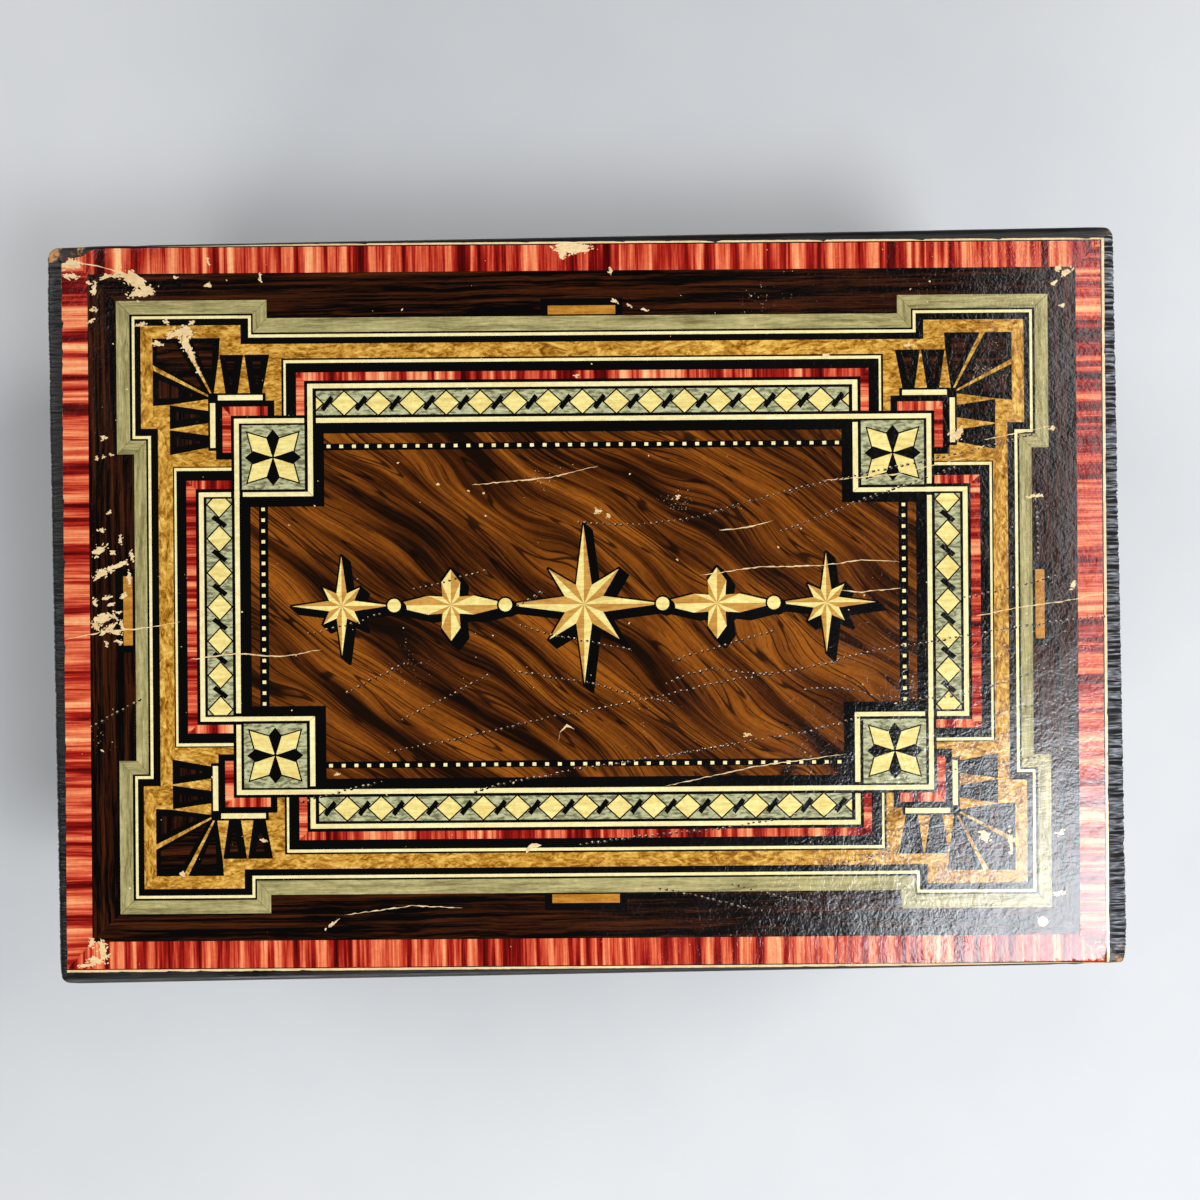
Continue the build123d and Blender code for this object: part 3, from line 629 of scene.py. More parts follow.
# %% The centre: strings and walnut
lay_frames(("black", 88.5, 47.9), ("black", 75.75, 48.1), ("cream", 87.75, 47.35), ("black", 86.55, 46.15),
           ("walnut", 83.75, 25.1), ("walnut", 65.15, 43.45), ("black", 81.65, 25.1),
           ("black", 65.15, 40.9),
           ("walnut", 79.35, 25.1), ("walnut", 65.15, 39.2))
for number in range(-20, 21):
    for side in SIDES:
        lay_about("cream", number * 3.2, side * 40.18, 0.48, 0.42)
for number in range(-9, 10):
    for side in SIDES:
        lay_about("cream", side * 80.6, number * 2.72, 0.45, 0.42)

# %% A flower in each corner, and the strings that cross there
for sx, sy in ((1, 1), (1, -1), (-1, 1), (-1, -1)):
    lay_block("black", (sx * 86.5, sx * 65.15), (sy * 46.15, sy * 25.1))
    lay_block("grey", (sx * 85.85, sx * 70.05), (sy * 45.65, sy * 29.5))
    for tip_x, tip_y in ((-1, 1), (1, 1), (1, -1), (-1, -1)):
        kite = [(tip_x * u, tip_y * v) for u, v in ((0.15, 0.15), (5.15, 1.62), (6.35, 6.2), (1.62, 4.8))]
        for ink, shape in (("black", outset(kite, 0.35)), ("satin", kite)):
            lay(ink, *[(x + sx * 78.0, y + sy * 37.5) for x, y in shape])
    for turned in (False, True):
        for sign in SIDES:
            kite = [(0, 0), (1.7, sign * 5.0), (0, sign * 7.1), (-1.7, sign * 5.0)]
            lay("black", *[((y if turned else x) + sx * 78.0, (x if turned else y) + sy * 37.5)
                           for x, y in kite])

upright_over = {(-1, 1): (True, True), (1, 1): (False, False), (-1, -1): (False, False),
                (1, -1): (False, True)}
for (sx, sy), (outer_upright, side_upright) in upright_over.items():
    x, y = sx * 68.6, sy * 28.25
    lay_block("cream_across", (x - 0.65, x + 0.65), (y - sy * 0.55, sy * 56.0))
    lay_block("cream", (x - sx * 0.65, sx * 96.75), (y - 0.55, y + 0.55))
    lay("mitre", (x - sx * 0.65, y - sy * 0.55), (x - sx * 0.5, y - sy * 0.55),
        (x + sx * 0.65, y + sy * 0.45), (x + sx * 0.65, y + sy * 0.55))
    for cx, cy, upright in ((x, sy * 46.75, outer_upright), (sx * 87.15, y, side_upright)):
        if upright:
            lay_about("black", cx, cy, 1.5, 0.7)
            lay_about("cream_across", cx, cy, 0.65, 0.9)
        else:
            lay_about("black", cx, cy, 0.75, 1.45)
            lay_about("cream", cx, cy, 0.95, 0.6)
print(len(stack), "cut papers so far")

# %% [markdown]
# ## A generic ornament for the middle
#
# The walnut field carries a row of stars and lozenges of the kind that marquetry books call
# compass stars: every ray is split into a light and a shaded half, outlined in black, and
# the whole row throws a hard printed shadow down and to the right.

# %% Compass stars and split lozenges
SHADOW = (2.0, -1.8)


def beside(x, y, turn, u, v=0.0):
    """The place u along and v across from x, y, when along is turned by an angle in radians."""
    c, s = cos(turn), sin(turn)
    return x + u * c - v * s, y + u * s + v * c


def star_border(middle, rays, inner, margin=0.55):
    """The star moved outwards by a margin, its sharp tips cut blunt."""
    border = []
    for number, reach in enumerate(rays):
        turn = 2 * pi * number / len(rays)
        border += [beside(*middle, turn, reach + margin, v) for v in (-margin * 0.7, margin * 0.7)]
        border.append(beside(*middle, turn + pi / len(rays), inner + margin * 1.4))
    return border


def lay_star(middle, rays, inner):
    """A star whose rays have the given reaches, each split into a light and a shaded half."""
    reaches = [radius for reach in rays for radius in (reach, inner)]
    points = [beside(*middle, pi * k / len(rays), radius) for k, radius in enumerate(reaches)]
    for number in range(0, len(points), 2):
        tip, before, after = points[number], points[number - 1], points[number + 1]
        lay("shaded", middle, before, tip)
        lay("satin", middle, tip, after)


ornament = []
for side in (-1, 1):
    ornament.append(((side * 61.0, 0.0), (12.5, 6.5) * 4, 3.4))
    ornament.append(((side * 33.5, 0.0), (15.5, 3.0, 9.0, 3.0) * 2, 6.2))
ornament.append(((0.0, 0.0), (20.0, 12.5, 20.0, 12.5) * 2, 5.2))
for step in range(10, -1, -1):
    for middle, rays, inner in ornament:
        place = (middle[0] + SHADOW[0] * step / 10, middle[1] + SHADOW[1] * step / 10)
        lay("black", *star_border(place, rays, inner))
for middle, rays, inner in ornament:
    lay_star(middle, rays, inner)
for x in (-47.8, -19.8, 19.8, 47.8):
    bead = [beside(x, 0.0, pi * k / 8, 1.7) for k in range(16)]
    lay("black", *[(px + 1.0, py - 0.9) for px, py in outset(bead, 0.5)])
    lay("black", *outset(bead, 0.45))
    lay("satin", *bead)

# %% [markdown]
# ## What a century did to the sheet
#
# Varnished paper doesn't fade evenly. It flakes where the box was knocked, cracks across the
# width of the lid, and loses nibbles from its edge. Each loss is one more shape in the stack, inked
# as bare paper, with a ragged outline that a seeded random number draws.

# %% Flakes, cracks and the ragged outline
def on_oval(x, y, length, width, turn, angle, reach):
    """A place on an oval turned by degrees, at an angle round it; its own reach is 1."""
    u, v = reach * length / 2 * cos(angle), reach * width / 2 * sin(angle)
    return beside(x, y, radians(turn), u, v)


def ragged(x, y, length, width, turn, seed, points=34):
    """A blob with a torn outline; turn is in degrees."""
    chance = random.Random(seed)
    waves = [(k, chance.uniform(0, 6.28), chance.uniform(0.5, 1.0) * 0.3 / k ** 0.45)
             for k in (2, 3, 5, 8, 13)]
    blob = []
    for number in range(points):
        angle = 2 * pi * number / points
        reach = 1 + sum(size * sin(k * angle + phase) for k, phase, size in waves) * 0.75
        reach = max(0.2, reach + chance.uniform(-0.2, 0.2))
        blob.append(on_oval(x, y, length, width, turn, angle, reach))
    return blob


def lay_flake(x, y, length, width, turn, seed):
    """A loss with the crumbs that broke away round it."""
    chance = random.Random(seed * 7 + 1)
    lay("paper", *ragged(x, y, length, width, turn, seed))
    for number in range(min(16, int(3 + 2.2 * length * width))):
        place = on_oval(x, y, length, width, turn, chance.uniform(0, 6.28), chance.uniform(0.95, 1.7))
        size = chance.uniform(0.12, 0.5)
        lay("paper", *ragged(*place, size * chance.uniform(1, 2.4), size, turn + chance.uniform(-40, 40),
                             seed + number, 9))


flakes = [  # x, y, length, width and turn
    (-112.6, 82.4, 7.5, 2.6, -38), (-110.6, 79.4, 5.6, 2.6, 8), (-119.9, 83.3, 2.8, 0.8, 12),
    (-116.6, 83.5, 3.2, 0.9, -4), (-122.7, 79.8, 1, 2.2, -8), (-124, 81.7, 0.8, 0.6, 0),
    (-122.4, 81.8, 0.6, 0.7, 0), (-123.3, 75, 0.9, 1, 0), (-122.2, 75, 0.7, 0.6, 0),
    (-123.6, 72.2, 1.3, 0.7, 35), (-102.3, 83, 0.9, 0.7, 0), (-94.1, 81, 1.9, 0.8, 15),
    (-128.4, 86.6, 4.6, 2.6, 10), (-128.6, 83.6, 3, 1.1, 0), (-100.4, 69.3, 4.6, 2.6, 0),
    (-99.7, 66.4, 2, 3.8, 20), (-98.3, 63.2, 1.2, 3.4, 22), (-96.6, 59.4, 0.6, 2.4, 20),
    (-103.4, 68.3, 2.4, 1.2, 20), (-106.8, 66.4, 2.2, 1, 0), (-110.9, 71.2, 2.4, 0.9, 8),
    (-104.6, 71.8, 1.2, 0.8, 0), (-98, 71.6, 0.9, 0.8, 0), (-120.7, 42.8, 0.8, 1.2, 0),
    (-122.3, 37.6, 0.7, 0.8, 0), (-120.6, 38, 0.7, 0.6, 0), (-118.9, 38.6, 0.9, 0.5, -30),
    (-121.2, -2.6, 4.6, 2, 20), (-121.4, 8.6, 3.4, 1.8, 25), (-117.3, 10.6, 6, 1, 22),
    (-122, 14.4, 3.2, 1.6, 30), (-118.6, 13.8, 1.2, 0.9, 0), (-115.9, 3, 1.6, 1.1, 0),
    (-114.4, 7.2, 0.9, 2.8, 0), (-120.3, 2.4, 2, 0.8, 20), (-118.3, -6.2, 3.4, 0.8, -12),
    (-117, -8.6, 1.6, 0.8, -20), (-116.6, 17, 0.8, 1.6, 0), (-121.3, 19.6, 1.3, 0.8, 0),
    (-119.2, 24, 0.8, 0.7, 0), (-117.2, -1.2, 1.2, 0.6, 10), (-113.8, 13.2, 0.8, 2, 10),
    (121.9, 82.6, 2.6, 1.2, 35), (119.8, 83.6, 1.2, 1.4, 0), (118.9, 80, 1.4, 0.8, 30),
    (121, 74.2, 0.9, 0.8, 0), (123.2, 3.9, 1.4, 1.6, 0), (113.8, 26.4, 2.6, 0.9, 4),
    (118.3, 43.4, 1.6, 0.7, 20), (94.3, 42, 3.2, 2.2, 40), (-2.6, 89.6, 8, 2.4, 0),
    (-4.8, 88.2, 1.6, 2.4, 0), (0.6, 90, 3.4, 1, 0), (-123.6, -88.8, 3.6, 1.6, 0),
    (-121.8, -86.4, 1.8, 4.6, 12), (-126.2, -90, 3, 0.9, 0), (-124.6, -84.2, 1.2, 2.2, 0),
    (-63.6, -79.9, 3.2, 0.45, 38), (-101.6, -67, 1.4, 0.9, 0), (-81, -59, 1.2, 0.8, 0),
    (3.6, 23.4, 1.4, 1, 0), (6.4, 22, 1, 0.7, 0), (40.8, -33.2, 1.2, 0.8, 0), (23.8, 26.8, 0.8, 0.6, 0),
    (-36.6, 30.4, 0.8, 0.5, 0), (61.4, 62.2, 1.6, 0.8, 0), (82, 64.6, 2, 0.6, 10),
    (-1.4, 57.6, 0.9, 0.6, 0), (119.6, -58.6, 1.6, 0.9, 20), (118.6, -73.8, 2.2, 1, 10),
    (100.4, -59, 2, 2.6, 30), (107, -61, 0.9, 5, 4), (-86.6, -52.8, 1, 0.7, 0), (-62.4, -42.4, 1, 0.6, 10),
    (7.4, 83.8, 0.9, 1.2, 0), (11.9, 75.2, 1.3, 0.5, -20), (16, 73.9, 1.2, 0.5, -20),
    (8.4, 76.2, 1.6, 0.7, -25), (-80.9, 83.2, 0.5, 1.8, 10), (-94, 86.9, 0.4, 2.2, 20),
    (-119.4, -5, 3, 1.2, 35), (-122.8, -4.6, 1.3, 2.2, 10), (-118.2, -2.4, 1.6, 0.8, -25),
    (-121.2, -6.4, 1.6, 0.8, 50), (-116.4, -4.4, 0.9, 2.2, 15), (-120.2, -9, 0.7, 1, 0),
    (-123.2, 1.4, 1, 1.4, 0), (-119, 0.8, 1.2, 0.6, 30),
]
cracks = [
    [(-128.0, 87.2), (-121.0, 85.9), (-115.8, 84.2), (-112.5, 82.6)],
    [(-131.0, -8.0), (-121.0, -6.0), (-111.0, -5.2), (-101.5, -3.6)],
    [(-99.5, -13.2), (-88.0, -11.8), (-76.0, -12.6), (-66.0, -10.9)],
    [(29.2, 7.0), (44.0, 9.0), (60.0, 9.2), (70.0, 10.6), (79.6, 10.0)],
    [(34.0, 18.4), (41.0, 18.9), (48.0, 20.8)], [(64.5, 3.0), (69.0, 2.4), (75.0, 3.0), (80.0, 3.4)],
    [(98.5, -3.8), (110.0, -1.6), (121.0, -0.2), (131.2, 1.9)],
    [(101.0, 40.6), (110.0, 42.4), (118.5, 44.0)], [(-28.0, 30.2), (-8.0, 32.0), (4.0, 34.8)],
    [(-61.0, -77.8), (-44.0, -75.6), (-31.0, -76.2)], [(20.0, -46.0), (44.0, -41.0), (66.0, -38.2)],
    [(60.0, 30.6), (78.0, 32.0), (98.0, 36.4)],
]


def crack_outline(path, width, seed):
    """A long thin sliver along a path, thickest in its middle and trembling on the way."""
    chance = random.Random(seed)
    middle = []
    for (x0, y0), (x1, y1) in zip(path, path[1:]):
        steps = max(2, int(hypot(x1 - x0, y1 - y0) / 0.9))
        middle += [(x0 + (x1 - x0) * k / steps, y0 + (y1 - y0) * k / steps + chance.uniform(-0.12, 0.12))
                   for k in range(steps)]
    half = [width * (0.25 + chance.random()) * sin(pi * (k + 0.5) / len(middle)) ** 0.4 / 2
            for k in range(len(middle))]
    upper = [(x, y + h) for (x, y), h in zip(middle, half)]
    lower = [(x, y - h) for (x, y), h in zip(middle, half)]
    return [path[0]] + lower[1:] + [path[-1]] + list(reversed(upper[1:]))


def bow(x, y, radius, start, end, parts=9):
    """Points along part of a circle; the angles are in degrees."""
    return [beside(x, y, radians(start + (end - start) * k / parts), radius) for k in range(parts + 1)]


dents = [  # the marks of a cup's foot or a thimble, each with its width
    ([(-2.6, -31.6), (-4.6, -30.4), (-6.3, -32.3), (-6.7, -34.8)], 0.7),
    ([(-11.1, -60.6), (-13.6, -60.6), (-15.1, -62.3), (-14.9, -65.4)], 1.3),
    (bow(71.7, -66.5, 2.2, 40, 290), 0.34), (bow(70.4, -66.3, 2.1, 95, 240), 0.26),
    (bow(71.7, -66.5, 2.2, -60, 20), 0.26),
    (bow(129.6, -88.2, 1.1, 30, 320), 0.32), (bow(128.8, -87.3, 1.2, 60, 250), 0.3)]
first_loss = len(stack)
lay("black", (123.3, -83.9), (123.5, -83.9), (129.3, -89.6), (129.1, -89.7))
lay("paper", *bow(114.9, -80.8, 1.3, 0, 330, 11), (116.4, -80.9))
for number, (x, y, length, width, turn) in enumerate(flakes):
    lay_flake(x, y, length, width, turn, number)
for number, path in enumerate(cracks):
    lay("paper", *crack_outline(path, 0.34, number))
for number, (path, width) in enumerate(dents):
    lay("paper", *crack_outline(path, width, 40 + number))
chance = random.Random(77)
for number in range(170):
    size = 0.14 + 0.4 * chance.random() ** 3
    place = chance.uniform(-129, 130), chance.uniform(-90, 90)
    lay("paper", *ragged(*place, size * chance.uniform(1, 2), size, chance.uniform(-60, 60), number, 6))
print(len(stack) - first_loss, "losses laid over", first_loss, "printed shapes")


def sheet_outline():
    """The trimmed edge of the sheet with its nibbles and the torn corner at the top left."""
    chance = random.Random(11)
    left, right, low, high = -130.95, 131.65, -91.75, 91.3
    path = []

    def run(start, end, bite, step=0.8):
        steps = int(hypot(end[0] - start[0], end[1] - start[1]) / step)
        depth = 0.0
        for k in range(steps):
            depth = max(0.0, depth * 0.6 + (chance.random() ** 30) * bite - 0.01)
            x, y = (start[i] + (end[i] - start[i]) * k / steps for i in (0, 1))
            inward = depth + chance.uniform(0, 0.06)
            path.append((x - copysign(inward, x) * (abs(end[0] - start[0]) < 9),
                         y - copysign(inward, y) * (abs(end[1] - start[1]) < 9)))

    run((left, 86.2), (left + 0.1, low), 0.5)
    run((left + 0.1, low), (right, low), 0.25)
    run((right, low), (right, high), 0.3)
    run((right, high), (-113.0, high), 0.5)
    path.extend([(-116.9, 91.2), (-119.5, 90.9), (-121.9, 90.5), (-122.9, 90.1), (-124.4, 89.5),
                 (-125.4, 88.6),
                 (-127.8, 88.1), (-129.6, 88.2), (-129.7, 87.0), (-130.8, 86.8)])
    return path


# %% [markdown]
# ## From cut papers to one sheet
#
# A mesh can't have shapes lying over one another in one surface: they'd fight for the same place.
# A constrained Delaunay triangulation cuts the plane along every outline at once, and tells
# for each triangle which shapes cover it. The last one laid is the ink that shows. A grid of loose
# points is cut in too, so that the sheet has vertices enough to lie over the rounded edge and to
# ripple a little.

# %% The lid's top, on which the sheet lies
LABEL_TURN = radians(-0.65)
LABEL_SHIFT = Vector((-0.1, 0.1))
PATTERN_SHIFT = Vector((-0.65, 0.2))
SHEET_MARGIN, SHEET_LIFT = 0.8, 0.12


def on_lid(point):
    """A point of the pattern, where it falls on the lid."""
    x, y = Vector(point) + PATTERN_SHIFT
    return Vector(beside(0.0, 0.0, LABEL_TURN, x, y)) + LABEL_SHIFT


def edge_distance(x, y, length=BOARD_LENGTH, depth=BOARD_DEPTH, corner=BOARD_CORNER):
    """How far a point is inside a board's outline with rounded corners."""
    u, v = abs(x) - length / 2 + corner, abs(y) - depth / 2 + corner
    if u > 0 and v > 0:
        return corner - hypot(u, v)
    return corner - max(u, v)


def edge_drop(distance):
    """How far the rounded edge lies below the flat top at this distance from the outline."""
    lack = min(max(BOARD_ROUND - distance, 0.0), BOARD_ROUND)
    return BOARD_ROUND - sqrt(BOARD_ROUND ** 2 - lack ** 2)


def rounded_outline(length, depth, corner, points=6):
    path = []
    for quarter, (sx, sy) in enumerate(((1, 1), (-1, 1), (-1, -1), (1, -1))):
        for k in range(points + 1):
            angle = pi / 2 * (quarter + k / points)
            path.append((sx * (length / 2 - corner) + corner * cos(angle),
                         sy * (depth / 2 - corner) + corner * sin(angle)))
    return path


def sheet_height(x, y):
    """The sheet's height: a slight ripple on the flat, and the board's rounding at its edge."""
    ripple = lumps(x / 21, y / 15, 3.1) * 0.022 + lumps(x / 6, y / 6, 8.2) * 0.007
    return LID_TOP + SHEET_LIFT + ripple - edge_drop(edge_distance(x, y))


# %% Cutting the sheet
def counter_clockwise(points):
    area = sum(a.x * b.y - b.x * a.y for a, b in zip(points, points[1:] + points[:1]))
    return points if area > 0 else points[::-1]


outline = counter_clockwise([on_lid(p) for p in sheet_outline()])
limit = [Vector(p) for p in rounded_outline(BOARD_LENGTH - 2 * SHEET_MARGIN,
                                            BOARD_DEPTH - 2 * SHEET_MARGIN, 2.2)]


def with_stops(shape, most=4.0):
    """The same outline with extra points on its long sides, for the ripple to bend."""
    path = []
    for start, end in zip(shape, shape[1:] + shape[:1]):
        stops = max(1, ceil((end - start).length / most))
        path += [start.lerp(end, k / stops) for k in range(stops)]
    return path


shapes = [outline, limit] + [counter_clockwise([on_lid(p) for p in corners]) for _, corners in stack]
shapes = [with_stops(shape) for shape in shapes]
points, faces = [], []
for shape in shapes:
    faces.append(list(range(len(points), len(points) + len(shape))))
    points.extend(shape)
GRID = 4.0
loose = [Vector((x * GRID + (y % 2) * GRID / 2, y * GRID * 0.87)) for x in range(-33, 34)
         for y in range(-26, 27)]
for inset in (0.95, 1.2, 1.5):
    for k in range(-66, 67):
        loose += [Vector((k * 2.0, BOARD_DEPTH / 2 - inset)), Vector((k * 2.0, inset - BOARD_DEPTH / 2))]
points.extend(loose)
cut_points, _, cut_faces, _, _, covered_by = geometry.delaunay_2d_cdt(points, [], faces, 1, 1e-5, True)
kept, ink_numbers = [], []
ink_order = list(inks)
for face, covers in zip(cut_faces, covered_by):
    if 0 in covers and 1 in covers:
        top = max(covers)
        kept.append(face)
        ink_numbers.append(ink_order.index(stack[top - 2][0] if top > 1 else "paper"))
print(len(cut_points), "points and", len(kept), "triangles in the sheet")


# %% From triangles to a closed sheet
def piece_from(name, mesh, body, slot_name, *nodes, finish=None):
    """Puts a finished mesh in the scene; it rides a body and may stand for CAD nodes."""
    if finish:
        mesh.materials.clear()
        mesh.materials.append(finish)
    thing = bring_in(name, mesh)
    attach(thing, body)
    if nodes:
        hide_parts(*nodes)
    return thing


def closed_sheet(name, flat_points, triangles, ink_numbers, top, low):
    """Gives cut triangles an upper and a lower skin and joins the two at the rim."""
    rim = {}
    for a, b, c in triangles:
        for edge in ((a, b), (b, c), (c, a)):
            rim[edge] = rim.get(edge, 0) + 1
    border = [edge for edge in rim if (edge[1], edge[0]) not in rim]
    used = sorted({v for face in triangles for v in face})
    upper = {v: k for k, v in enumerate(used)}
    count = len(used)
    corners = [(x, y, top(x, y)) for x, y in (flat_points[v] for v in used)]
    corners += [(x, y, low(x, y)) for x, y in (flat_points[v] for v in used)]
    faces = [tuple(upper[v] for v in face) for face in triangles]
    faces += [tuple(upper[v] + count for v in reversed(face)) for face in triangles]
    faces += [(upper[a], upper[a] + count, upper[b] + count, upper[b]) for a, b in border]
    mesh = bring_mesh(name, corners, faces)
    paper = ink_order.index("paper")
    mesh.polygons.foreach_set("material_index", list(ink_numbers) + [paper] * (len(faces) - len(triangles)))
    mesh.shade_smooth()
    rim_pairs = {frozenset((upper[a], upper[b])) for a, b in border}
    sharp = mesh.attributes.new("sharp_edge", "BOOLEAN", "EDGE")
    for edge in mesh.edges:
        sharp.data[edge.index].value = frozenset(edge.vertices) in rim_pairs
    step, normals = 0.05, []
    for x, y, _ in corners[:count]:
        slope_x = (top(x + step, y) - top(x - step, y)) / (2 * step)
        slope_y = (top(x, y + step) - top(x, y - step)) / (2 * step)
        normals.append(Vector((-slope_x, -slope_y, 1.0)).normalized())
    shown = [tuple(normals[mesh.loops[k].vertex_index]) if face.index < len(triangles)
             else tuple(face.normal)
             for face in mesh.polygons for k in face.loop_indices]
    mesh.normals_split_custom_set(shown)
    print(name, "has", len(border), "rim edges and", 2 * len(triangles), "triangles in its skins")
    return mesh


def front_up(face):
    a, b, c = (cut_points[v] for v in face)
    return face if (b - a).cross(c - a) > 0 else face[::-1]


label_mesh = closed_sheet("paper_label", [tuple(p) for p in cut_points], [front_up(f) for f in kept],
                          ink_numbers,
                          sheet_height, lambda x, y: LID_TOP - 0.01 - edge_drop(edge_distance(x, y)))
for ink in ink_order:
    label_mesh.materials.append(inks[ink])
piece_from("paper_label", label_mesh, "lid", "label_paper", "lid_label")

# %% [markdown]
# ## The two boards
#
# Lid and base are the same board: softwood with its grain along the box, stained black. On the
# long edges the stain lies smooth. On the short ones the soft wood between the growth rings
# has worn away and left fine ridges that run over the rounded edge. The corners are
# knocked back to bare wood. A cube with a bevel can't do this, so the board is drawn as
# rings that follow its outline down over the edge, and every point may sink by its own amount.
# Nothing rises, so the board stays inside its true size.


# %% Rings that follow the board's outline
def board_outline(step_end=0.32, step_side=2.2):
    """Points round the board, anticlockwise, each with the direction that faces outwards."""
    half_x, half_y = BOARD_LENGTH / 2, BOARD_DEPTH / 2
    straight_x, straight_y = half_x - BOARD_CORNER, half_y - BOARD_CORNER
    path = []
    count_y, count_x = round(2 * straight_y / step_end), round(2 * straight_x / step_side)
    for k in range(count_y + 1):
        path.append(((half_x, -straight_y + 2 * straight_y * k / count_y), (1.0, 0.0)))
    corner_turns = [pi / 2 * k / 7 for k in range(1, 7)]
    path += [((straight_x + BOARD_CORNER * cos(t), straight_y + BOARD_CORNER * sin(t)),
              (cos(t), sin(t))) for t in corner_turns]
    for k in range(count_x + 1):
        path.append(((straight_x - 2 * straight_x * k / count_x, half_y), (0.0, 1.0)))
    path += [((-straight_x - BOARD_CORNER * sin(t), straight_y + BOARD_CORNER * cos(t)),
              (-sin(t), cos(t))) for t in corner_turns]
    return path + [((-x, -y), (-u, -v)) for (x, y), (u, v) in path]


def ridge_depth(x, y, end_share, seed):
    """How far the soft wood between the growth rings has worn down, in millimetres."""
    bend = lumps(x / 26, y / 17, seed) * 1.6 + lumps(x / 1.6, y / 3.0, seed) * 0.25
    crest = abs(lumps(x / 22, (y + bend) / 0.95, seed + 4.0))
    fine = abs(lumps(x / 9, (y + bend) / 0.7, seed + 9.0))
    patchy = 0.65 + 0.6 * max(0.0, lumps(x / 30, y / 22, seed + 2.0) + 0.35)
    side = 1.0 if x > 0 else 0.65
    return min(0.42, crest * 0.85 + fine * 0.35) * end_share * patchy * side


knocks = [  # place across and along, reach, and how bare the wood is
    (-135.5, 93.6, 9.0, 1.0), (-127.5, 94.2, 6.5, 0.6), (-136.2, 85.0, 6.0, 0.6),
    (135.5, 93.6, 6.5, 0.75), (135.5, -93.6, 10.0, 1.0), (127.0, -94.0, 6.0, 0.8),
    (-135.5, -93.6, 6.0, 0.7), (-136.5, 61.0, 5.0, 0.5), (136.5, 47.0, 4.0, 0.55),
    (136.6, -64.0, 5.0, 0.5), (118.0, -94.0, 4.0, 0.55), (-112.0, 94.0, 4.0, 0.45),
    (40.0, 94.4, 3.0, 0.4), (-136.5, -22.0, 5.0, 0.45),
]


def corner_wear(x, y, z, seed):
    """0 where the stain is whole and up to 1 where the corner is knocked back to the wood."""
    reach = 0.0
    for cx, cy, size, share in knocks:
        gap = hypot(x - cx, y - cy) / size
        reach = max(reach, share * (1.0 - gap))
    return max(0.0, min(1.0, reach + 0.55 * reach * lumps(x / 2.2, y / 2.2, z / 2.2 + seed)))


def board_mesh(name, low, high, seed):
    """The board between two heights, its ridges and its knocked corners."""
    path = board_outline()
    arc = [pi / 2 * k / 5 for k in range(6)]
    profile = [(6.2, high, 0.0), (5.2, high, 0.4), (4.2, high, 0.85), (3.0, high, 1.0), (2.2, high, 1.0)]
    profile += [(BOARD_ROUND * (1 - sin(t)), high - BOARD_ROUND * (1 - cos(t)), 1.0) for t in arc]
    side_low, side_high, side_rings = low + BOARD_ROUND, high - BOARD_ROUND, 3
    profile += [(0.0, side_high + (side_low - side_high) * k / (side_rings + 1), 1.0)
                for k in range(1, side_rings + 1)]
    profile += [(BOARD_ROUND * (1 - cos(t)), low + BOARD_ROUND * (1 - sin(t)), 1.0) for t in arc]
    profile += [(2.4, low, 0.7), (3.4, low, 0.3), (4.4, low, 0.0)]
    corners, wear, ends = [], [], []
    for inset, z, share in profile:
        for (x, y), (u, v) in path:
            px, py = x - u * inset, y - v * inset
            if inset > BOARD_CORNER:
                px = max(inset - BOARD_LENGTH / 2, min(BOARD_LENGTH / 2 - inset, px))
                py = max(inset - BOARD_DEPTH / 2, min(BOARD_DEPTH / 2 - inset, py))
            end_share = abs(u) ** 3 * share
            sink = ridge_depth(px, py, end_share, seed)
            rounder = abs(u) ** 3 * (0.6 if u > 0 else 0.25) * max(0.0, 1 - inset / 3.2) ** 2
            sink += 0.05 * share * max(0.0, lumps(px / 9, py / 9, z / 3 + seed))
            knocked = corner_wear(px, py, z, seed) if share > 0.6 else 0.0
            sink += share * 0.75 * knocked ** 1.6
            outward = min(1.0, max(0.0, 1.0 - inset / BOARD_ROUND))
            upward = 1.0 - outward if inset > 1e-6 else 0.0
            centre = (low + high) / 2
            lift = copysign(sink * upward, z - centre) + rounder * (z - centre) / (high - centre)
            corners.append((px - u * sink * outward, py - v * sink * outward, z - lift))
            wear.append(knocked)
            # The ends share also sets the painted crest highlight and valley shade; it is lower on the left
            # end, which the light reaches less.
            ends.append(end_share * (1.0 if u > 0 else 0.35))
    count = len(path)
    faces = []
    for ring in range(len(profile) - 1):
        for k in range(count):
            here, after = ring * count + k, ring * count + (k + 1) % count
            faces.append((here, here + count, after + count, after))
    faces.append(tuple(range(count)))
    faces.append(tuple(reversed(range(len(corners) - count, len(corners)))))
    mesh = bring_mesh(name, corners, faces)
    for label, values in (("wear", wear), ("ends", ends)):
        mesh.attributes.new(label, "FLOAT", "POINT").data.foreach_set("value", values)
    clean = bmesh.new()
    clean.from_mesh(mesh)
    bmesh.ops.remove_doubles(clean, verts=clean.verts, dist=1e-6)
    clean.to_mesh(mesh)
    clean.free()
    mesh.shade_smooth()
    return mesh


def add_block(tool, low, high):
    for v in bmesh.ops.create_cube(tool, size=1.0)["verts"]:
        v.co = [(low[i] + (high[i] - low[i]) * (v.co[i] + 0.5)) * MM for i in range(3)]


def add_rod(tool, start, end, radius, points=24):
    start, end = Vector(start) * MM, Vector(end) * MM
    turn = (end - start).to_track_quat("Z", "Y").to_matrix().to_4x4()
    bmesh.ops.create_cone(tool, cap_ends=True, segments=points, radius1=radius * MM, radius2=radius * MM,
                          depth=(end - start).length, matrix=Matrix.Translation((start + end) / 2) @ turn)


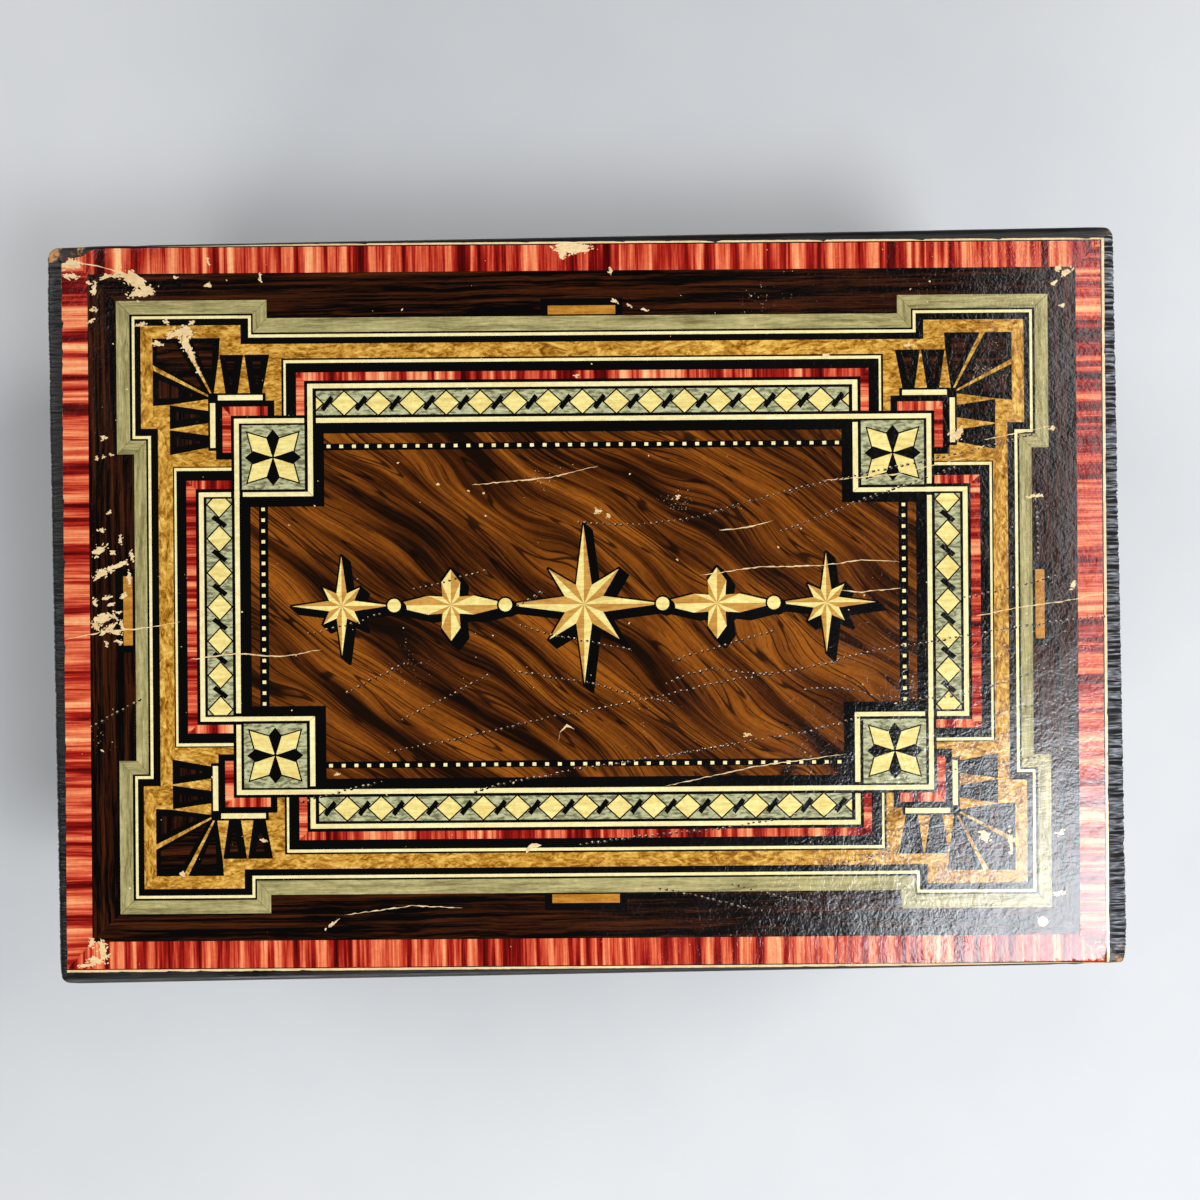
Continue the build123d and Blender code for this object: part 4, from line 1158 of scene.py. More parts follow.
def cut_beds(mesh, add_shape, shapes):
    """Cuts beds of one kind out of the mesh with an exact Boolean and returns a plain mesh."""
    gather = bmesh.new()
    for shape in shapes:
        single, spare = bmesh.new(), bpy.data.meshes.new("single")
        add_shape(single, *shape)
        single.to_mesh(spare)
        single.free()
        gather.from_mesh(spare)
        bpy.data.meshes.remove(spare)
    tool = bring_in("beds", bpy.data.meshes.new("beds"))
    gather.to_mesh(tool.data)
    gather.free()
    work = bring_in("work", mesh)
    cut = work.modifiers.new("beds", "BOOLEAN")
    cut.object, cut.solver = tool, "EXACT"
    made = worked_out(work)
    bpy.data.objects.remove(tool)
    return made


# %% [markdown]
# ## Wood that is wood all through
#
# A plank's grain is a slice through the tree's growth rings. The effect `wood_grain` works
# out the rings in 3-D, as cylinders round a heart that lies below the plank, wavering along its
# length. So a face along the plank shows long streaks, and its end shows arcs, with no seam at the
# corner between them. The grain runs along X; a material turns the place for other planks.


# %% Growth rings and fibre
@effect("Place:vector Spacing Heart", "Rings Fibre")
def wood_grain(r, place, spacing, heart):
    parts = r.parts(place)
    waver = r.minus(r.noise(r.stretch(place, scale=(0.13, 1, 1)), 38, 3, 0.55), 0.5)
    depth = r.plus(parts["Z"], heart)
    radius = r.calc("SQRT", r.plus(r.times(parts["Y"], parts["Y"]), r.times(depth, depth)))
    radius = r.plus(radius, r.times(waver, 0.012))
    year = r.calc("FRACT", r.over(radius, spacing))
    rings = r.calc("POWER", year, 2.2)
    fibre = r.noise(r.stretch(place, scale=(0.035, 1, 1)), 2400, 3, 0.6)
    return rings, fibre


@effect("Place:vector Worn", "Bare Thin")
def rubbed(r, place, worn):
    flakes = r.noise(place, 900, 4, 0.7)
    cloud = r.noise(place, 130, 3, 0.6)
    level = r.plus(worn, r.times(r.minus(flakes, 0.5), 0.9))
    level = r.plus(level, r.times(r.minus(cloud, 0.5), 0.7))
    return r.between(level, 0.42, 0.56), r.between(level, 0.12, 0.5)


# Masks for the ridges on the board's ends: the crests carry a bump and a painted highlight, the valleys a
# duller finish and painted shade.
@effect("Place:vector Ends", "Crest Valley")
def end_ridges(r, place, ends):
    lines = r.noise(r.stretch(place, scale=(0.06, 1, 0.2)), 740, 2, 0.5, 0.25)
    hairs = r.noise(r.stretch(place, scale=(0.2, 1, 0.3)), 1900, 2, 0.5)
    crest = r.between(r.far(r.minus(lines, 0.5)), 0.04, 0.1, 1.0, 0.0)
    crest = r.times(crest, r.between(hairs, 0.35, 0.6, 0.35, 1.0))
    valley = r.times(ends, r.minus(1.0, crest), clamp=True)
    return r.times(crest, ends), valley


def stained_wood(name, wear_steps, stain, thin, bare, turn=ALONG, spacing=1.7, heart=70.0, lift=0.004,
                 ridged=False):
    """Softwood under a dark stain that thins and then goes where the wear steps say so; when ridged, the
    board's end ridges also get a painted highlight on their crests and painted shade in their valleys.
    """
    def steps(r, place):
        wood = use(r, wood_grain, Place=r.stretch(place, turn=turn), Spacing=spacing * MM, Heart=heart * MM)
        rub = use(r, rubbed, Place=place, Worn=wear_steps(r, place))
        dark = r.blend(wood["Rings"], stain, [min(1.0, c * 3.2 + lift) for c in stain[:3]] + [1.0])
        raw = r.blend(wood["Rings"], bare, [c * 0.62 for c in bare[:3]] + [1.0])
        colour = r.blend(rub["Bare"], r.blend(rub["Thin"], dark, thin), raw)
        dust = r.noise(place, 70, 4, 0.6)
        scratches = r.noise(r.stretch(place, scale=(0.5, 9, 9), turn=(0.5, 0.3, 0.8)), 150, 2, 0.5)
        scored = r.between(scratches, 0.68, 0.73)
        colour = r.blend(r.times(scored, 0.5), colour, thin)
        handled = r.noise(place, 21, 4, 0.6)
        colour = r.tint(colour, handled, 0.5, 0.72, 0.35, thin)
        rough = r.plus(r.between(dust, 0.3, 0.7, 0.22, 0.5), r.times(rub["Bare"], 0.3))
        rough = r.plus(rough, r.times(wood["Fibre"], 0.1))
        height = r.plus(r.times(wood["Rings"], 0.8), r.times(wood["Fibre"], 0.9))
        height = r.minus(height, r.times(r.plus(rub["Bare"], scored), 0.6))
        if ridged:
            ends = r.stored("ends")
            ridge = use(r, end_ridges, Place=place, Ends=ends)
            highlight_and_dull_zone = r.between(ends, 0.32, 1.0)
            # Painted highlight: a pale bluish grey added on the ridge crests, most at the right end.
            colour = r.blend(r.times(ridge["Crest"], highlight_and_dull_zone), colour, paint(128, 132, 140), "ADD")
            # Painted shade: the valleys between the ridges darkened almost to black.
            colour = r.blend(ridge["Valley"], colour, paint(5, 4, 4))
            dull = r.times(r.times(ridge["Valley"], highlight_and_dull_zone), 0.55)
            rough = r.plus(rough, dull, clamp=True)
            height = r.plus(height, r.times(ridge["Crest"], 2.6))
        return r.skin(colour, rough, 0.6, 0.00012, height)
    return finish_of(name, steps)


board_black = stained_wood("board_black_stain", lambda r, place: r.stored("wear"), paint(8, 7, 7),
                           paint(44, 24, 14), paint(206, 150, 92), lift=0.0, ridged=True)
print("board finish ready")

# %% The lid board and the base board
HINGE_X, LEAF_HALF, BARREL_HALF, BARREL_RADIUS, BARREL_Y = 86, 12.55, 12.6, 2.1, 89.43
PIN_RADIUS, PIN_BED = 1.15, 0.8
lid_beds, barrels = [], []
for x in (-HINGE_X, HINGE_X):
    lid_beds.append(((x - LEAF_HALF, 82.35, 86.0), (x + LEAF_HALF, BARREL_Y, 89.05)))
    barrels.append(((x - BARREL_HALF, BARREL_Y, SEAM), (x + BARREL_HALF, BARREL_Y, SEAM), BARREL_RADIUS))
lid_beds.append(((-17.1, -88.3, 86.0), (17.1, -81.9, 89.0)))
lid_mesh = cut_beds(cut_beds(board_mesh("lid_board_ridged", SEAM, LID_TOP, 1.0), add_block, lid_beds),
                    add_rod, barrels)
lid_board = piece_from("lid_board_ridged", lid_mesh, "lid", "lid_wood", "lid_board", finish=board_black)
pin_places = [(x, y) for x in (-115, -38.33, 38.33, 115) for y in (-85.5, 85.5)]
pin_places += [(x, y) for x in (-127.5, 127.5) for y in (-40, 40)]
base_mesh = cut_beds(board_mesh("base_board_ridged", 0.0, 6.0, 5.0), add_rod,
                     [((x, y, -1.0), (x, y, PIN_BED), PIN_RADIUS) for x, y in pin_places])
base_board = piece_from("base_board_ridged", base_mesh, "case", "base_wood", "base_board",
                        finish=board_black)
print("lid board", len(lid_board.data.polygons), "faces; base board", len(base_board.data.polygons),
      "faces")


# %% [markdown]
# ## The box below the lid
#
# The case, its tray and its brass come from the frame with knife-sharp edges, which no
# plane or file leaves. `eased` copies such a piece, merges its loose triangles into real faces
# and takes a fifth of a millimetre off every arris with the Bevel modifier. Those arrises also
# catch the light and lose their stain first, so each point remembers in the attribute `edge`
# whether it lies on one. Every surface gets its own flat map as well, measured in metres, for
# the papers whose pattern has to follow the walls.


# %% Easing the arrises of a frame piece
def eased(node, slot_name, finish, width=0.2):
    source = frame["nodes"][node]
    work = bmesh.new()
    work.from_mesh(source.data)
    bmesh.ops.remove_doubles(work, verts=work.verts, dist=2e-6)
    bmesh.ops.dissolve_limit(work, angle_limit=radians(0.8), verts=work.verts, edges=work.edges)
    mesh = bpy.data.meshes.new(node + "_eased")
    work.to_mesh(mesh)
    work.free()
    blank = bring_in("blank", mesh)
    if width:
        bevel = blank.modifiers.new("ease", "BEVEL")
        bevel.width, bevel.segments, bevel.limit_method = width * MM, 2, "ANGLE"
        bevel.angle_limit, bevel.harden_normals = radians(35), True
    made = worked_out(blank)
    made.name = mesh.name
    edge = [max(0.0, min(1.0, (0.985 - max(abs(c) for c in v.normal)) * 8)) for v in made.vertices]
    made.attributes.new("edge", "FLOAT", "POINT").data.foreach_set("value", edge)
    flat_map = made.uv_layers.new(name="walls")
    for face in made.polygons:
        axis = max(range(3), key=lambda i: abs(face.normal[i]))
        u, v = [(1, 2), (0, 2), (0, 1)][axis]
        for corner in face.loop_indices:
            place = made.vertices[made.loops[corner].vertex_index].co
            flat_map.data[corner].uv = (place[u], place[v])
    return piece_from(made.name, made, source["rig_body"], slot_name, node, finish=finish)


# %% [markdown]
# ## Finishes for what the lid hides
#
# Black stain on the case, bare limewood in the tray, brass that has gone brown except where
# fingers rub it, and steel with a bloom of rust. Metal has no grain, so its age is the detail:
# `patina` puts out one broad mask for tarnish and one fine one for scratches.


# %% Patina of brass and steel
@effect("Place:vector Size", "Tarnish Scratch Spots")
def patina(r, place, size):
    spread = r.scaled(place, size)
    cloud = r.noise(spread, 1.0, 5, 0.62, 0.4)
    spots = r.noise(spread, 7.0, 4, 0.7)
    scratch = r.noise(r.stretch(spread, scale=(0.6, 14, 14), turn=(0.3, 0.2, 0.5)), 6.0, 2, 0.5)
    tarnish = r.between(r.plus(r.times(cloud, 0.7), r.times(spots, 0.3)), 0.4, 0.62)
    return tarnish, scratch, r.between(spots, 0.58, 0.66)


def aged_metal(name, clean, dull, spot, rough):
    def steps(r, place):
        age = use(r, patina, Place=place, Size=160.0)
        arris = r.stored("edge")
        tarnish = r.minus(age["Tarnish"], r.times(arris, 0.5), clamp=True)
        colour = r.blend(r.times(age["Spots"], 0.6), r.blend(tarnish, clean, dull), spot)
        roughness = r.plus(r.between(tarnish, 0, 1, rough, rough + 0.25), r.times(age["Scratch"], 0.12))
        height = r.plus(r.times(age["Scratch"], 0.4), r.times(age["Spots"], 0.5))
        return r.skin(colour, roughness, 0.25, 0.00005, height)
    return finish_of(name, steps, Metallic=1.0)


brass = aged_metal("aged_brass", paint(206, 164, 88), paint(124, 88, 42), paint(70, 58, 34), 0.24)
steel = aged_metal("aged_steel", paint(168, 166, 160), paint(98, 92, 86), paint(110, 62, 34), 0.3)

# %% Bare limewood and stained case wood
def bare_wood(name, turn):
    """Pale limewood, browned by handling, a little darker in its growth rings."""
    def steps(r, place):
        along = r.stretch(place, turn=turn)
        wood = use(r, wood_grain, Place=along, Spacing=1.4 * MM, Heart=60.0 * MM)
        handled = r.noise(place, 22, 5, 0.6)
        arris = r.stored("edge")
        colour = r.blend(wood["Rings"], paint(222, 190, 142), paint(196, 156, 106))
        colour = r.tint(colour, wood["Fibre"], 0.45, 0.7, 0.45, paint(176, 132, 84))
        colour = r.tint(colour, handled, 0.42, 0.7, 0.55, paint(150, 108, 66))
        colour = r.blend(r.times(arris, 0.5), colour, paint(128, 88, 52))
        height = r.plus(wood["Rings"], r.times(wood["Fibre"], 0.8))
        return r.skin(colour, r.between(handled, 0.3, 0.7, 0.5, 0.66), 0.4, 0.00008, height)
    return finish_of(name, steps)


@effect("Place:vector Length Depth Low High Reach", "Wear")
def arris_wear(r, place, length, depth, low, high, reach):
    """Wear near the outer edges of a box: high where a place is near two of its faces at once."""
    x, y, z = r.parts(place)
    gap_x = r.minus(length, r.far(x))
    gap_y = r.minus(depth, r.far(y))
    gap_z = r.calc("MINIMUM", r.minus(z, low), r.minus(high, z))
    nearer, farther = r.calc("MINIMUM", gap_x, gap_y), r.calc("MAXIMUM", gap_x, gap_y)
    second = r.calc("MAXIMUM", nearer, r.calc("MINIMUM", farther, gap_z))
    streaks = r.noise(r.stretch(place, scale=(0.4, 0.4, 1)), 46, 4, 0.65)
    close = r.minus(1.0, r.over(second, reach), clamp=True)
    return [r.times(close, r.between(streaks, 0.36, 0.62, 0.25, 1.0))]


def case_arris(r, place):
    return use(r, arris_wear, Place=place, Length=131 * MM, Depth=89 * MM, Low=6 * MM, High=SEAM * MM,
               Reach=3.2 * MM)["Wear"]


limewood, limewood_across = bare_wood("limewood", ALONG), bare_wood("limewood_across", ACROSS)
case_stain = [stained_wood(name, case_arris, paint(15, 11, 10), paint(62, 32, 17), paint(158, 104, 58),
                           turn, spacing=2.1, heart=62.0)
              for name, turn in (("case_black_stain", ALONG), ("case_black_stain_across", ACROSS))]
print("metal and wood finishes ready")

# %% Case, rests and tray
for node in ("front_panel", "back_panel"):
    eased(node, "case_wood", case_stain[0], 0.22)
for node in ("left_panel", "right_panel"):
    eased(node, "case_wood", case_stain[1], 0.22)
for node in ("tray_front", "tray_back", "tray_bottom", "middle_divider_front", "middle_divider_back",
             "left_divider", "right_divider_front", "right_divider_back"):
    eased(node, "plain_wood", limewood, 0.25)
for node in ("tray_left", "tray_right", "cross_divider_left", "cross_divider_right", "lid_batten_left",
             "lid_batten_right", "tray_rest_left", "tray_rest_right"):
    eased(node, "plain_wood", limewood_across, 0.25)

# %% Brass and steel
for node in ("escutcheon", "hinge_leaf_lower_left", "hinge_leaf_lower_right", "hinge_leaf_upper_left",
             "hinge_leaf_upper_right", "link_plate", "lock_cap", "lock_frame", "lock_bolt"):
    eased(node, "brass", brass, 0.12)
for node, thing in frame["nodes"].items():
    if node in ("hinge_pin_left", "hinge_pin_right", "escutcheon_pins"):
        thing.data.materials[0] = brass
    elif node in ("base_pins", "batten_pins", "hinge_screws_lower", "hinge_screws_upper", "link_screws",
                  "lock_screws", "lock_spring"):
        thing.data.materials[0] = steel

# %% [markdown]
# ## The lining papers
#
# Boxes like this were lined with block-printed diaper paper: a small four-petalled flower in every
# lozenge of a lattice. The flower is one formula, a circle whose radius swells four times
# on the way round, repeated by taking the remainder of the place on the wall. Foxing and a
# grubby tone where hands reach lie over it.


# %% The diaper print
LATTICE_WIDTH, LATTICE_HEIGHT = 4.8, 4.2


def diaper_steps(r, place):
    wall = r.add("ShaderNodeUVMap", uv_map="walls")
    parts = r.parts(wall)
    row = r.over(parts["Y"], LATTICE_HEIGHT * MM)
    drop = r.times(r.calc("MODULO", r.calc("FLOOR", row), 2.0), 0.5)
    column = r.plus(r.over(parts["X"], LATTICE_WIDTH * MM), drop)
    u, v = (r.minus(r.calc("FRACT", r.plus(value, 200.0)), 0.5) for value in (column, row))
    radius = r.calc("SQRT", r.plus(r.times(u, u), r.times(v, v)))
    petals = r.calc("COSINE", r.times(r.calc("ARCTAN2", v, u), 4.0))
    reach = r.plus(0.2, r.times(petals, 0.085))
    flower = r.between(r.minus(reach, radius), -0.012, 0.012)
    heart = r.between(r.minus(0.055, radius), -0.01, 0.01)
    leaf = r.between(r.minus(0.07, r.far(r.minus(r.plus(r.far(u), r.far(v)), 0.56))), 0.0, 0.05)
    fibres = r.noise(place, 1700, 3, 0.6)
    foxing = r.noise(place, 60, 5, 0.7)
    ground = r.blend(r.between(fibres, 0.35, 0.65), paint(176, 104, 96), paint(190, 122, 110))
    print_ink = r.blend(leaf, ground, paint(132, 62, 60))
    print_ink = r.blend(flower, print_ink, paint(230, 210, 172))
    print_ink = r.blend(heart, print_ink, paint(150, 70, 60))
    rubbed_off = r.between(r.plus(r.noise(place, 420, 4, 0.65), r.times(foxing, 0.3)), 0.74, 0.8)
    colour = r.blend(r.times(rubbed_off, 0.7), print_ink, paint(214, 188, 150))
    colour = r.tint(colour, foxing, 0.56, 0.72, 0.55, paint(122, 84, 50))
    return r.skin(colour, r.between(foxing, 0.3, 0.7, 0.72, 0.86), 0.3, 0.00006, fibres)


lining_paper = finish_of("diaper_lining_paper", diaper_steps)
for node in ("case_lining", "lid_lining"):
    eased(node, "lining_paper", lining_paper, 0.0)

# %% [markdown]
# ## Pricks of the tracing wheel
#
# Somebody has used the lid as a table and run a spiked tracing wheel over paper patterns laid on
# it. Its spikes left rows of little marks right through the picture. Several hundred equal marks along
# a path are a job for Geometry Nodes: the rows are drawn as curves on the sheet, and the
# tree divides them at the wheel's pitch. Each mark is two small lenses: a dark one, the painted shadow
# of the dent, set down and to the right, and beside it a pale one, the painted highlight on the
# dent's upper left. So it shows in a pale ink and in a dark one.

# %% Rows drawn on the sheet, in millimetres from its centre
pricked_rows = [
    [(-60.5, -21.6), (-56, -19.2), (-50, -16.4), (-46, -14.3)],
    [(-50, -36.7), (-43.3, -35.4), (-28.3, -32.5), (-8.3, -27.9)],
    [(-46.7, -28.3), (-41.7, -25.8), (-35.8, -23.3), (-31.7, -20.8), (-25, -17.5)],
    [(-6, -27.5), (0, -26.7), (12.5, -24.2), (25, -21.7), (33, -19.6), (46, -17.8)],
    [(-43.3, 4.2), (-33.3, 6.7), (-25.8, 8.8)], [(-17.5, 0.0), (-14, 1.7), (-11.7, 3.3)],
    [(-16.7, -5), (-9.2, -7.5), (-3.3, -8.3), (10.8, -11.3)],
    [(-18.3, -16.7), (-11.7, -17.5), (-4.2, -18.8), (1.7, -19.6), (8.3, -22), (20.8, -24.6)],
    [(-28.3, -46.7), (-21.7, -44.6), (-11.7, -43.2), (-1.7, -40.8), (8.3, -40), (16.7, -38.3),
     (29.2, -36.7), (37, -35.4)],
    [(-1.7, 20.8), (8.3, 20), (18.3, 20.4), (28.3, 22), (40, 25.4), (56.7, 29.8), (73.3, 33.3),
     (92.5, 37), (112, 42)],
    [(49.2, 18.3), (56.7, 20.8), (66.7, 25), (80, 29.6), (93, 34)],
    [(21.7, -14.2), (37.5, -9.2), (46.7, -7.1)],
    [(20, -20), (28.3, -16), (36.7, -16.7), (46.7, -18.3), (63, -14.4)],
    [(63.3, -14.2), (71.7, -12), (86.7, -9.8), (103.3, -7), (115, -5.4), (130, -3.8)],
    [(55, -21.7), (63.3, -20.8), (71.7, -23.3), (81.7, -24.2), (90.8, -23.8), (100, -21.8), (115, -16.9)],
    [(20, -38.3), (28.3, -36.7), (36.7, -35), (49.2, -33.3), (60, -31.3), (68, -28.8)],
    [(17.9, -71.4), (25, -72.9), (33.6, -75), (42, -77)], [(36, -70.6), (46, -73.5), (56, -75.2)],
    [(-72, -49), (-60, -45.6), (-52, -44.2)], [(113.3, 27), (113.6, 20), (113.9, 12)],
    [(104, -27.6), (112, -25.8), (121, -24.6)], [(88, -43), (98, -40.6), (110, -39.9), (121, -37)],
    [(-2, -60.2), (16, -57.8), (34, -56.9), (52, -53.2)],
    [(58, -66.5), (76, -63), (90, -57.8), (102, -55.6)], [(-70, -6.6), (-60, -4.8), (-52, -1.8)],
    [(95, 1.2), (104, 2.4), (118, 6.6)], [(-124.9, -29.8), (-118.5, -26), (-112.8, -23.1)],
]


def drawn_curve(name, rows, kind, closed=False):
    """A curve object with a spline through each row of points, in millimetres."""
    curve = bpy.data.curves.new(name, "CURVE")
    curve.dimensions = "3D"
    for row in rows:
        spline = curve.splines.new(kind)
        spline.points.add(len(row) - 1)
        for point, (x, y, z) in zip(spline.points, row):
            point.co = (x * MM, y * MM, z * MM, 1.0)
        spline.use_cyclic_u = closed
        if kind == "NURBS":
            spline.order_u, spline.use_endpoint_u, spline.resolution_u = 3, True, 8
    return bring_in(name, curve)


def on_sheet(point):
    p = on_lid(Vector(point) - PATTERN_SHIFT)
    return p.x, p.y, sheet_height(p.x, p.y)


# The two halves of each prick: a dark painted shadow and a pale painted highlight.
prick_painted_shadow = printed("prick_painted_shadow", grained(1.1, 0.5, 0.3, paint(14, 10, 8), paint(44, 30, 20)))
prick_painted_highlight = printed("prick_painted_highlight", grained(1.1, 0.5, 0.3, paint(118, 92, 66), paint(216, 192, 158)))

# %% A tree that sets small things along a path
class Setter(Recipe):
    """A recipe for a Geometry Nodes tree with named inputs, which remembers their identifiers."""

    def __init__(self, name, **sizes):
        tree = bpy.data.node_groups.new(name, "GeometryNodeTree")
        super().__init__(tree)
        tree.interface.new_socket("Geometry", in_out="INPUT", socket_type="NodeSocketGeometry")
        self.identifiers = {}
        for label, kind in sizes.items():
            made = tree.interface.new_socket(label, in_out="INPUT", socket_type=kind)
            self.identifiers[label] = made.identifier
        tree.interface.new_socket("Geometry", in_out="OUTPUT", socket_type="NodeSocketGeometry")
        self.given = tree.nodes.new("NodeGroupInput").outputs

    def close(self, made):
        self.tree.links.new(made, self.tree.nodes.new("NodeGroupOutput").inputs["Geometry"])

    def apply(self, thing, name, **values):
        """Runs the tree on an object and returns the plain mesh; the object is then removed."""
        work = thing.modifiers.new("set", "NODES")
        work.node_group = self.tree
        for label, value in values.items():
            work[self.identifiers[label]] = value
        made = worked_out(thing)
        made.name = name
        return made


FLOAT, INTEGER, MATERIAL = "NodeSocketFloat", "NodeSocketInt", "NodeSocketMaterial"
pricker = Setter("prick_rows", Pitch=FLOAT, Length=FLOAT, Width=FLOAT, Height=FLOAT, Seed=INTEGER)
g = pricker.given
dots = pricker.add("GeometryNodeCurveToPoints", Curve=g["Geometry"], Length=g["Pitch"], mode="LENGTH")
turned = dots.node.outputs["Rotation"]
astray = pricker.add("FunctionNodeRandomValue", {0: (-0.00014, -0.00018, 0.0), 1: (0.00014, 0.00018, 0.0),
                                                 "Seed": g["Seed"]}, data_type="FLOAT_VECTOR")
dots = pricker.add("GeometryNodeSetPosition", Geometry=dots, Offset=astray)
swell = pricker.add("FunctionNodeRandomValue", {2: 0.45, 3: 1.0, "Seed": g["Seed"]}, out=1,
                    data_type="FLOAT")
lens = pricker.add("GeometryNodeMeshUVSphere", Segments=8, Rings=5, Radius=0.5)
halves = []
# Two lenses per mark: the dark one, a painted shadow set off down and to the right, and the pale one, a
# painted highlight set off up and to the left, marked by the attribute rim.
for is_painted_highlight, share, offset in ((False, 1.0, (0.00014, -0.00012, 0.0)),
                              (True, 0.62, (-0.00008, 0.00008, 0.0))):
    marked = pricker.add("GeometryNodeStoreNamedAttribute", Geometry=lens, Name="rim", Value=is_painted_highlight,
                         data_type="BOOLEAN", domain="FACE")
    height = g["Height"] if is_painted_highlight else pricker.times(g["Height"], 0.5)
    across, along = (pricker.times(g[side], share) for side in ("Width", "Length"))
    size = pricker.scaled(pricker.add("ShaderNodeCombineXYZ", [across, height, along]), swell)
    set_off = pricker.add("GeometryNodeSetPosition", Geometry=dots, Offset=offset)
    halves.append(pricker.add("GeometryNodeInstanceOnPoints", Points=set_off, Instance=marked,
                              Rotation=turned, Scale=size))
marks = pricker.add("GeometryNodeJoinGeometry", Geometry=halves[0])
pricker.tree.links.new(halves[1], marks.node.inputs["Geometry"])
marks = pricker.add("GeometryNodeRealizeInstances", Geometry=marks)
marks = pricker.add("GeometryNodeSetMaterial", Geometry=marks, Material=prick_painted_shadow)
# Lenses marked rim take the pale painted-highlight material.
on_painted_highlight = pricker.add("GeometryNodeInputNamedAttribute", Name="rim", data_type="BOOLEAN")
marks = pricker.add("GeometryNodeSetMaterial", Geometry=marks, Selection=on_painted_highlight, Material=prick_painted_highlight)
pricker.close(marks)
wheel_runs = drawn_curve("rows", [[on_sheet(p) for p in row] for row in pricked_rows], "NURBS")
prick_mesh = pricker.apply(wheel_runs, "wheel_pricks", Pitch=1.5 * MM, Length=1.1 * MM, Width=0.75 * MM,
                           Height=0.19 * MM, Seed=4)
piece_from("wheel_pricks", prick_mesh, "lid", "label_paper")
print(len(prick_mesh.polygons), "faces of pricks between", *extent(prick_mesh))

# %% [markdown]
# ## The pincushion
#
# The middle cell of the tray holds a velvet pad, stuffed hard with bran. Modelled by hand it would
# look like a bar of soap, so it is sewn and stuffed instead: a slack bag with its seam pinned
# at the rim of the cell, a little more cloth than the seam can take, and pressure inside.
# Blender's cloth solver finds the crown and the small gathers by itself. The solver is at home
# with sizes of decimetres, so the bag is worked ten times too large and then brought back.

# %% The slack bag
CUSHION_HALF, CUSHION_LOW, CUSHION_TOP, SEAM_HEIGHT = 30.2, 49.0, 81.0, 74.8


def rounded_square(half, corner, count=120):
    """Points round a square with rounded corners, spaced evenly by angle."""
    ring = []
    for k in range(count):
        angle = 2 * pi * k / count
        c, s = cos(angle), sin(angle)
        power = 2 + 10 * max(0.0, 1 - corner / half)
        size = half / (abs(c) ** power + abs(s) ** power) ** (1 / power)
        ring.append((size * c, size * s))
    return ring


def slack_bag(name):
    levels = [(49.5, 20.0), (49.5, 27.0), (50.6, 28.6), (54.0, 29.1), (62.0, 29.3), (70.0, 29.2),
              (73.2, 28.9),
              (SEAM_HEIGHT, 28.4), (75.8, 27.3), (76.3, 24.5), (76.6, 20.0), (76.8, 13.0), (76.9, 6.0)]
    count, corners, faces = 120, [], []
    for z, half in levels:
        corners += [(x, y, z) for x, y in rounded_square(half, 9.0 if half > 20 else 16.0, count)]
    for ring in range(len(levels) - 1):
        for k in range(count):
            here, after = ring * count + k, ring * count + (k + 1) % count
            faces.append((here, after, after + count, here + count))
    last = (len(levels) - 1) * count
    corners += [(0, 0, 49.5), (0, 0, 76.9)]
    faces += [((k + 1) % count, k, len(corners) - 2) for k in range(count)]
    faces += [(last + k, last + (k + 1) % count, len(corners) - 1) for k in range(count)]
    return bring_mesh(name, corners, faces)


def stuffed(mesh, scale=10.0, frames=22, pressure=5.0, most_move=3.7):
    """Sews the bag at its seam, blows it up with the cloth solver and returns the stuffed mesh."""
    mesh = mesh.copy()
    mesh.transform(Matrix.Scale(scale, 4))
    work = bring_in("bag", mesh)
    net = work.modifiers.new("net", "REMESH")
    net.mode, net.voxel_size = "VOXEL", 0.95 * MM * scale
    even = worked_out(work, keep=True, every_layer=False)
    work.modifiers.clear()
    work.data = even
    held = work.vertex_groups.new(name="held")
    low, seam = (CUSHION_LOW + 1.5) * MM * scale, SEAM_HEIGHT * MM * scale
    pinned = [v.index for v in even.vertices if v.co.z < low or abs(v.co.z - seam) < 0.55 * MM * scale]
    held.add(pinned, 1.0, "REPLACE")
    start = [v.co.copy() for v in even.vertices]
    cloth = work.modifiers.new("cloth", "CLOTH")
    cloth.settings.quality, cloth.settings.mass = 6, 0.25
    cloth.settings.tension_stiffness, cloth.settings.compression_stiffness = 12.0, 12.0
    cloth.settings.shear_stiffness, cloth.settings.bending_stiffness = 5.0, 0.25
    cloth.settings.use_pressure, cloth.settings.uniform_pressure_force = True, pressure
    cloth.settings.shrink_min = -0.07
    cloth.settings.vertex_group_mass = "held"
    cloth.settings.effector_weights.gravity = 0.0
    cloth.collision_settings.use_collision = False
    cloth.point_cache.frame_start, cloth.point_cache.frame_end = 1, frames
    for number in range(1, frames + 1):
        bpy.context.scene.frame_set(number)
    made = worked_out(work, keep=True, every_layer=False)
    bpy.context.scene.frame_set(1)
    bpy.data.objects.remove(work)
    cap = most_move * MM * scale
    for vertex, before in zip(made.vertices, start):
        move = vertex.co - before
        if move.length > cap:
            vertex.co = before + move * (cap / move.length)
    made.transform(Matrix.Scale(1 / scale, 4))
    print("stuffed bag of", len(made.vertices), "points,", len(pinned), "held, between", *extent(made))
    return made


